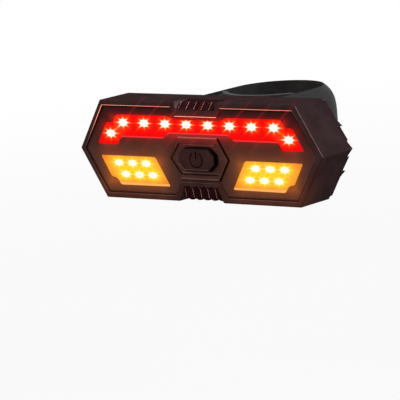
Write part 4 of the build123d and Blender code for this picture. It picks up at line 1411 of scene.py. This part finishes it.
@dataclass
class Housing:
    """Hexagonal housing with its ribbed grips, rear cover, seal and screws."""

    corner_depth: float = 0.4
    # depth behind the rim's front within which edges take the painted highlight
    highlight_depth: float = 0.7
    rim_inset: float = 0.6
    cover_depth: float = 14.4
    cover_inset: float = 2.4
    pocket_left: Pair = (-8.5, -7.2)
    pocket_height: float = 14.0
    floor_half: float = 7.0
    floor_height: float = 12.5
    tab_half: float = 11.0
    bar_pitch: float = 3.0
    bar_width: float = 2.1
    bar_count: int = 5
    bar_crown: float = 0.28
    top_floor: tuple[Pair, ...] = ((-0.05, 13.36), (0.45, 13.36), (2.65, 15.46), (6.55, 15.46))
    bottom_floor: tuple[Pair, ...] = (
        (0.1, -10.96), (0.95, -11.65), (1.45, -14.5), (3.0, -15.46), (6.55, -15.46))
    screw: CapScrew = CapScrew(1.8, 1.3, 0.95, 8.0)
    screw_x: float = 36.8
    screw_z: float = 10.8
    screw_seat: float = 16.3

    def build(self) -> None:
        """Makes every piece of the housing."""
        self.front()
        self.back()
        self.grip("top_grip_bars", self.top_floor, 1.0)
        self.grip("bottom_grip_bars", self.bottom_floor, -1.0)
        self.screw.make("case_fasteners",
                        [(x, FRONT_Y + self.screw_seat, z) for x in (-self.screw_x, self.screw_x)
                         for z in (-self.screw_z, self.screw_z)],
                        "case_screws")
        softened("moulded_seal", "housing_seal", Body.LAMP, Slot.SEAL, [Softening(0.2, 40, 3)],
                 Finishes.seal, Finishes.seal)

    def front(self) -> None:
        """Copies the housing with its outer and rim edges rounded."""
        def outline(middle: Vector, along: Vector) -> bool:
            """Whether an edge runs front to back on the outline."""
            return abs(along.y) > 3.0 and abs(along.x) < 0.01 and self.inset(middle) < 0.05

        def brink(middle: Vector, along: Vector) -> bool:
            """Whether an edge is between the cut front corner and an end's side."""
            return (abs(middle.y - FRONT_Y - self.corner_depth) < 0.1 and abs(along.x) > 0.5
                    and abs(along.z) > 0.5 and self.inset(middle) < 0.05)

        def rim(middle: Vector, along: Vector) -> bool:
            """Whether an edge is on the inside of the rim's front, clear of the grips' floors.

            Args:
                middle: the edge's middle in millimetres.
                along: from one of its ends to the other.

            Returns:
                True where it is.
            """
            floor = (abs(middle.x) < self.floor_half and abs(along.z) < 0.5
                     and abs(middle.z) > self.floor_height)
            return (middle.y < FRONT_Y + 0.02 and along.length > 1.2
                    and self.inset(middle) > 1.0 and not floor)

        def finish(middle: Vector, normal: Vector, number: int) -> int:
            """Paler edges, as wear and a painted highlight, inside the rim and on the ends' upper
            corners, and a painted highlight on the grip pocket's left wall.

            Args:
                middle: the face's middle in millimetres.
                normal: its direction.
                number: the finish that the roundings left it.

            Returns:
                The face's finish by number.
            """
            left, right = self.pocket_left
            # the grip pocket's left wall, as a painted highlight where it faces the light
            if left < middle.x < right and middle.z > self.pocket_height and normal.x > 0.5:
                return 2
            if middle.y > FRONT_Y + self.highlight_depth or not 0.1 < abs(normal.y) < 0.97:
                return 0
            if self.inset(middle) > self.rim_inset:
                side = abs(middle.x) < self.tab_half and abs(normal.x) > abs(normal.z)
                return 0 if side else number
            return number * int(abs(normal.x) > 0.3 and middle.z > 0.0)

        softened("housing_front", "front_bezel", Body.LAMP, Slot.HOUSING,
                 [Softening(0.3, 20, worn_highlight=False, chosen=outline),
                  Softening(0.16, 20, chosen=brink),
                  Softening(0.75, segments=3, chosen=rim)],
                 Finishes.housing, Finishes.housing_edge_highlight, Finishes.pocket_wall_highlight,
                 choice=finish)

    @staticmethod
    def inset(place: Vector) -> float:
        """Distance in from the housing's outline."""
        across, up = LAMP.facet_normal
        return min((LAMP.half_width - abs(place.x)) * across - abs(place.z) * up,
                   LAMP.half_height - abs(place.z))

    def back(self) -> None:
        """Copies the rear cover with its edges rounded."""
        def outside(middle: Vector, along: Vector) -> bool:
            """Whether an edge is long and on the cover's outside."""
            return (along.length > 1.0 and middle.y > FRONT_Y + self.cover_depth
                    and self.inset(middle) < self.cover_inset)

        softened("housing_back", "rear_cover", Body.LAMP, Slot.HOUSING,
                 [Softening(0.2, chosen=outside)], Finishes.housing, Finishes.housing_edge_highlight)

    def grip(self, name: str, floor: Sequence[Pair], side: float) -> None:
        """Makes a row of rounded bars that follow the side view of a pocket.

        Args:
            name: the piece's name.
            floor: depths and heights of the pocket's floor.
            side: 1 above, -1 below.
        """
        rule = Rule(name, {"Pitch": self.bar_pitch, "Width": self.bar_width,
                           "Crown": self.bar_crown})
        half = rule.times(rule.given("Width"), 0.5)
        arc = rule.add("GeometryNodeCurveArc", {"mode": "RADIUS"},
                       {"Radius": half, "Sweep Angle": math.pi, "Resolution": 9}, "Curve")
        crown = rule.times(rule.maths("DIVIDE", rule.given("Crown"), half), side)
        path = rule.add("GeometryNodeSetCurveNormal", {"mode": "FREE"},
                        {"Curve": rule.given(), "Normal": (-1.0, 0.0, 0.0)})
        bar = rule.swept(path, rule.moved(arc, Scale=rule.vector(1.0, crown, 1.0)))
        first = rule.times(rule.given("Pitch"), -(self.bar_count - 1) / 2)
        line = rule.row(self.bar_count, rule.vector(first), rule.vector(rule.given("Pitch")))
        start = track(name, [(0.0, FRONT_Y + depth, z) for depth, z in floor])
        obj = rule.grow(rule.at_points(line, bar), start, Finishes.grip, 50.0)
        obj.data.materials.clear()
        for finish in (Finishes.grip, Finishes.grip_edge_highlight):
            obj.data.materials.append(finish.material)
        for face in obj.data.polygons:
            # faces turned to -X take the painted highlight lines
            face.material_index = int(face.normal.x < -0.25)
        keep(obj, Body.LAMP, Slot.HOUSING)


@dataclass
class FrontPanel:
    """Dark panel with its windows, the lights behind them and the light baffle."""

    edge_depth: float = 0.55
    boss_depth: float = 0.9
    led_width: float = 3.2
    led_height: float = 2.6
    led_base: float = 0.8
    led_dome: float = 0.5
    ball_radius: float = 1.1
    board_front: float = 5.2

    def build(self) -> None:
        """Makes or dresses every piece of the panel."""
        self.panel()
        dress(red_lens=Finishes.red, amber_lens_left=Finishes.amber,
              amber_lens_right=Finishes.amber, light_baffle=Finishes.baffle)
        red = [((n - 3.5) * LAMP.row_pitch, LAMP.row_height) for n in range(8)]
        red += [(-LAMP.end_x, LAMP.end_z), (LAMP.end_x, LAMP.end_z)]
        amber = [(side * (first + n * LAMP.amber_pitch), z) for side in (-1, 1)
                 for first, z in (LAMP.amber_upper, LAMP.amber_lower) for n in range(3)]
        self.lights("red_leds", red)
        self.lights("amber_leds", amber)

    def panel(self) -> None:
        """Copies the panel with the edges of its face, boss and dish rounded."""
        def face(middle: Vector, along: Vector) -> bool:
            """Whether an edge is on the panel's front."""
            return middle.y < FRONT_Y + self.edge_depth and along.length > 0.5

        def finish(middle: Vector, normal: Vector, number: int) -> int:
            """Painted highlight where a cut corner faces up to the lights, and painted shade
            elsewhere.

            Args:
                middle: the face's middle in millimetres.
                normal: its direction.
                number: the finish that the roundings left it.

            Returns:
                The face's finish by number.
            """
            if middle.y > FRONT_Y + self.boss_depth or abs(normal.y) > 0.97:
                return 0
            if normal.z > 1.5 * abs(normal.x) and middle.z > 0.0:
                return int(0.2 < abs(normal.y) < 0.85)
            return 2

        softened("panel_face", "front_panel", Body.LAMP, Slot.PANEL, [Softening(0.14, chosen=face)],
                 Finishes.panel, Finishes.panel_edge_highlight, Finishes.panel_shade,
                 choice=finish)

    def lights(self, node: str, places: Sequence[Pair]) -> None:
        """Makes a row of lights, each a block with a dome.

        Args:
            node: the CAD node of the lights.
            places: where each is, across and up.
        """
        rule = Rule(node + "_domed", {"Width": self.led_width, "Height": self.led_height,
                                      "Base": self.led_base, "Dome": self.led_dome,
                                      "Ball Radius": self.ball_radius})
        base, ball_radius = rule.given("Base"), rule.given("Ball Radius")
        block = rule.block(rule.given("Width"), base, rule.given("Height"))
        ball = rule.add("GeometryNodeMeshUVSphere", inputs={
            "Segments": 24, "Rings": 12, "Radius": ball_radius}, output="Mesh")
        flat = rule.moved(ball, Scale=rule.vector(
            1.0, rule.maths("DIVIDE", rule.given("Dome"), ball_radius), 1.0))
        dome = rule.moved(flat, Translation=rule.vector(y=rule.times(base, -0.5)))
        depth = FRONT_Y + self.board_front - self.led_base / 2
        start = dots(node, [(x, depth, z) for x, z in places])
        shape = rule.at_points(rule.given(), rule.joined(block, dome))
        keep(rule.grow(shape, start, Finishes.led), Body.LAMP, Slot.LED, node)


@dataclass
class PowerButton:
    """Octagonal push button with its stem and the switch that it works."""

    mark_half: float = 2.9
    mark_front: float = -1.19
    mark_floor: float = -0.9
    front_depth: float = -0.6

    def build(self) -> None:
        """Copies the button with its front edges rounded, and dresses the switch."""
        def face(middle: Vector, along: Vector) -> bool:
            """Whether an edge goes round the button's front."""
            return (middle.y < FRONT_Y + self.front_depth and along.length > 0.8
                    and abs(middle.x) > self.mark_half)

        def finish(middle: Vector, normal: Vector, number: int) -> int:
            """Painted highlight below on the cut corner, and painted shade in the mark and round
            the sides.

            Args:
                middle: the face's middle in millimetres.
                normal: its direction.
                number: the finish that the roundings left it.

            Returns:
                The face's finish by number.
            """
            depth = middle.y - FRONT_Y
            if abs(middle.x) < self.mark_half and self.mark_front < depth < self.mark_floor:
                return 2
            if abs(normal.y) < 0.97 and (normal.x > 0.2 or normal.z > 0.3):
                return 2
            return int(depth < self.front_depth and 0.2 < abs(normal.y) < 0.97 and normal.z < -0.3)

        softened("button_cap", "power_button", Body.BUTTON, Slot.BUTTON,
                 [Softening(0.14, 20, chosen=face)], Finishes.button,
                 Finishes.button_edge_highlight, Finishes.mark, choice=finish)
        dress(switch_stem=Finishes.switch, tact_switch=Finishes.switch)


@dataclass
class ChargingPort:
    """Charging socket and its hinged rubber cover."""

    plate_height: float = -14.0

    def build(self) -> None:
        """Copies the cover with soft edges, and dresses the socket."""
        def outside(middle: Vector, along: Vector) -> bool:
            """Whether an edge is on the cover's plate."""
            return along.length > 1.0 and middle.z < self.plate_height

        softened("port_flap", "port_cover", Body.FLAP, Slot.PORT, [Softening(0.2, chosen=outside)],
                 Finishes.port, Finishes.port)
        dress(usb_socket=Finishes.steel)


@dataclass
class Mounting:
    """Bracket, its rubber pad and the ladder strap."""

    bend_radius: float = 15.45
    crown: float = 3.6
    half_height: float = 14.0
    leg: float = 22.0
    slot_pitch: float = 7.0
    slot_first: float = -17.0
    slot_length: float = 4.0
    slot_height: float = 9.0
    end_cut: float = 3.0
    cutter_width: float = 60.0

    def build(self) -> None:
        """Makes every piece of the mounting."""
        # rounded edges take the paler finish, for wear and as a painted highlight
        softened("bracket_body", "bracket", Body.BRACKET, Slot.BRACKET, [Softening(0.35)],
                 Finishes.bracket, Finishes.bracket_edge_highlight)
        softened("grip_pad", "bracket_pad", Body.BRACKET, Slot.PAD, [Softening(0.35, 40)],
                 Finishes.pad, Finishes.pad)
        self.strap()

    def path(self) -> list[Point]:
        """Run of the strap: along one leg, round the bend and along the other.

        Returns:
            Places along it in millimetres.
        """
        turns = [math.radians(180 * n / 48) for n in range(49)]
        r = self.bend_radius
        run = [-self.leg * (1 - n / 12) for n in range(12)]
        return ([(r, y, 0.0) for y in run]
                + [(r * math.cos(t), r * math.sin(t), 0.0) for t in turns]
                + [(-r, y, 0.0) for y in reversed(run)])

    def strap(self) -> None:
        """Makes the crowned strap in its bent shape, with its slots and tapered ends."""
        rule = Rule("strap_band", {
            "Crown": self.crown, "Half Height": self.half_height, "Slot Length": self.slot_length,
            "Slot Height": self.slot_height, "Slot Pitch": self.slot_pitch,
            "First Slot": self.slot_first, "Leg": self.leg, "End Cut": self.end_cut,
            "Cutter Width": self.cutter_width})
        half, width = rule.given("Half Height"), rule.given("Cutter Width")
        line = rule.add("GeometryNodeCurvePrimitiveLine", inputs={
            "Start": rule.vector(y=rule.times(half, -1.0)), "End": rule.vector(y=half)})
        fine = rule.add("GeometryNodeResampleCurve", inputs={"Curve": line, "Count": 41})
        where = rule.add("ShaderNodeSeparateXYZ", inputs={0: rule.add("GeometryNodeInputPosition")},
                         output=1)
        share = rule.maths("ABSOLUTE", rule.maths("DIVIDE", where, half))
        fall = rule.maths("SUBTRACT", 1.0, rule.maths("POWER", share, 5.0))
        profile = rule.add("GeometryNodeSetPosition", inputs={
            "Geometry": fine, "Offset": rule.vector(rule.times(rule.given("Crown"), fall))})
        path = rule.add("GeometryNodeSetCurveNormal", {"mode": "Z_UP"}, {"Curve": rule.given()})
        hole = rule.block(width, rule.given("Slot Length"), rule.given("Slot Height"))
        places = rule.row(2, rule.vector(y=rule.given("First Slot")),
                          rule.vector(y=rule.given("Slot Pitch")))
        side = rule.times(rule.given("End Cut"), math.sqrt(2.0))
        wedge = rule.moved(rule.block(width, side, side), Rotation=(math.pi / 4, 0.0, 0.0))
        ends = rule.row(2, rule.vector(0.0, rule.times(rule.given("Leg"), -1.0),
                                       rule.times(half, -1.0)),
                        rule.vector(z=rule.times(half, 2.0)))
        band = rule.cut(rule.swept(path, profile), rule.real(rule.at_points(places, hole)),
                        rule.real(rule.at_points(ends, wedge)))
        obj = rule.grow(band, track("strap_band", self.path()), Finishes.strap)
        keep(obj, Body.BRACKET, Slot.STRAP, "strap")


@dataclass
class Inside:
    """What is inside the housing: board, parts on it, and the battery."""

    screw: CapScrew = CapScrew(1.5, 0.9, 0.7, 3.1)
    screw_places: tuple[float, ...] = (-29.52, -15.216, 15.216, 29.52)
    screw_height: float = 0.853
    board_back: float = 6.4

    def build(self) -> None:
        """Dresses the inner pieces."""
        dress(circuit_board=Finishes.board, control_chips=Finishes.chip,
              radio_antenna=Finishes.antenna, battery_cell=Finishes.cell,
              battery_plug=Finishes.plug, battery_leads=Finishes.lead)
        tape = softened("foam_strip", "battery_pad", Body.LAMP, Slot.FOAM, [Softening(0.25, 40, 3)],
                        Finishes.foam, Finishes.foam)
        self.screw.make("board_fasteners",
                        [(x, FRONT_Y + self.board_back, self.screw_height)
                         for x in self.screw_places],
                        "board_screws")


@dataclass(frozen=True)
class SoftLight:
    """Square lamp that faces the object from a place to the right, up and back of it."""

    name: str
    place: Point
    size: float
    power: float
    tint: Colour


@dataclass
class Studio:
    """Camera, soft lights, white surroundings and a pale floor."""

    focal: float = 3064.315
    picture: float = 400.0
    sensor: float = 36.0
    azimuth: float = 38.7022
    elevation: float = 9.7571
    roll: float = 4.5406
    distance: float = 956.0
    aside: float = -0.4896
    lift: float = -14.782
    clip: Pair = (0.05, 50.0)
    floor_height: float = -70.0
    floor_reach: float = 4000.0
    floor_fade: Pair = (150.0, 700.0)
    floor_white: float = 0.93
    ambient: float = 0.17
    lamps: tuple[SoftLight, ...] = (
        SoftLight("key", (700, 420, 250), 0.45, 6.8, (0.84, 0.97, 1.0)),
        SoftLight("fill", (-600, 300, 600), 0.6, 3.3, (1.0, 0.98, 0.96)),
        SoftLight("above", (-420, 420, 60), 0.4, 1.6, (1.0, 0.94, 0.92)))

    def build(self) -> None:
        """Makes the whole setting."""
        self.camera()
        self.world()
        self.floor()
        self.lights()
        bpy.context.scene.view_settings.view_transform = "Standard"

    def axes(self) -> tuple[Vector, Vector, Vector]:
        """Directions to the right, up and back from the picture before it is rolled.

        Returns:
            The three directions, each of length 1.
        """
        turn, rise = math.radians(self.azimuth), math.radians(self.elevation)
        back = Vector((math.sin(turn) * math.cos(rise), -math.cos(turn) * math.cos(rise),
                       math.sin(rise)))
        right = Vector((math.cos(turn), math.sin(turn), 0.0))
        return right, back.cross(right), back

    def camera(self) -> None:
        """Places the camera where the photograph was taken from."""
        right, up, back = self.axes()
        data = bpy.data.cameras.new("camera")
        data.sensor_width = self.sensor
        data.lens = self.focal / self.picture * self.sensor
        data.clip_start, data.clip_end = self.clip
        place = (Vector((0.0, FRONT_Y, 0.0)) + back * self.distance + right * self.aside
                 + up * self.lift)
        roll = math.radians(self.roll)
        across = right * math.cos(roll) - up * math.sin(roll)
        upward = right * math.sin(roll) + up * math.cos(roll)
        turn = Matrix((across, upward, back)).transposed().to_4x4()
        obj = put("camera", data)
        obj.matrix_world = Matrix.Translation(place * MM) @ turn
        bpy.context.scene.camera = obj

    def world(self) -> None:
        """White to the camera and in reflections, and soft grey as a light."""
        shader = Shader("surroundings", world=True)
        strength = self.ambient + shader.in_view() * (1.0 - self.ambient)
        bpy.context.scene.world = shader.close(shader.add("ShaderNodeBackground", inputs={
            "Color": WHITE, "Strength": strength}))

    def floor(self) -> None:
        """Pale floor that stays white to the camera and keeps the shadow."""
        reach, height = self.floor_reach * MM, self.floor_height * MM
        mesh = bpy.data.meshes.new("floor")
        mesh.from_pydata([(-reach, -reach, height), (reach, -reach, height),
                          (reach, reach, height), (-reach, reach, height)], [], [(0, 1, 2, 3)])
        shader = Shader("pale_floor")
        where = shader.place()
        x, y, _ = where.parts()
        away = (x * x + y * y).root().ramp(*self.floor_fade)
        paint = shader.add("ShaderNodeBsdfDiffuse", inputs={
            "Color": where.noise(30.0).blend(scaled(WHITE, 0.30), scaled(WHITE, 0.33))})
        white = shader.add("ShaderNodeEmission", inputs={"Color": WHITE, "Strength": 1.0})
        share = shader.in_view() * (self.floor_white + away * (1.0 - self.floor_white))
        mixed = shader.add("ShaderNodeMixShader", inputs={0: share, 1: paint, 2: white})
        below = shader.add("ShaderNodeNewGeometry", output="Backfacing")
        clear = shader.add("ShaderNodeBsdfTransparent")
        shader.close(shader.add("ShaderNodeMixShader", inputs={0: below, 1: mixed, 2: clear}))
        mesh.materials.append(shader.owner)
        obj = put("floor", mesh)

    def lights(self) -> None:
        """Hangs the lamps and turns each to the middle of the object's front."""
        target = Vector((0.0, FRONT_Y, 0.0)) * MM
        for lamp in self.lamps:
            data = bpy.data.lights.new(lamp.name, "AREA")
            data.shape = "SQUARE"
            data.size, data.energy, data.color = lamp.size, lamp.power, lamp.tint
            obj = put(lamp.name, data)
            away = sum((axis * length for axis, length in zip(self.axes(), lamp.place)), Vector())
            obj.location = target + away * MM
            obj.rotation_euler = (target - obj.location).to_track_quat("-Z", "Y").to_euler()


def write_sizes() -> None:
    bpy.context.view_layer.update()


def main() -> None:
    """Builds every sub-assembly in order."""
    logging.basicConfig(level=logging.INFO, format="%(message)s")
    for part in (Housing(), FrontPanel(), PowerButton(), ChargingPort(), Mounting(), Inside()):
        log.info("Building %s", type(part).__name__)
        part.build()
    Studio().build()
    write_sizes()


if __name__ == "__main__":
    main()
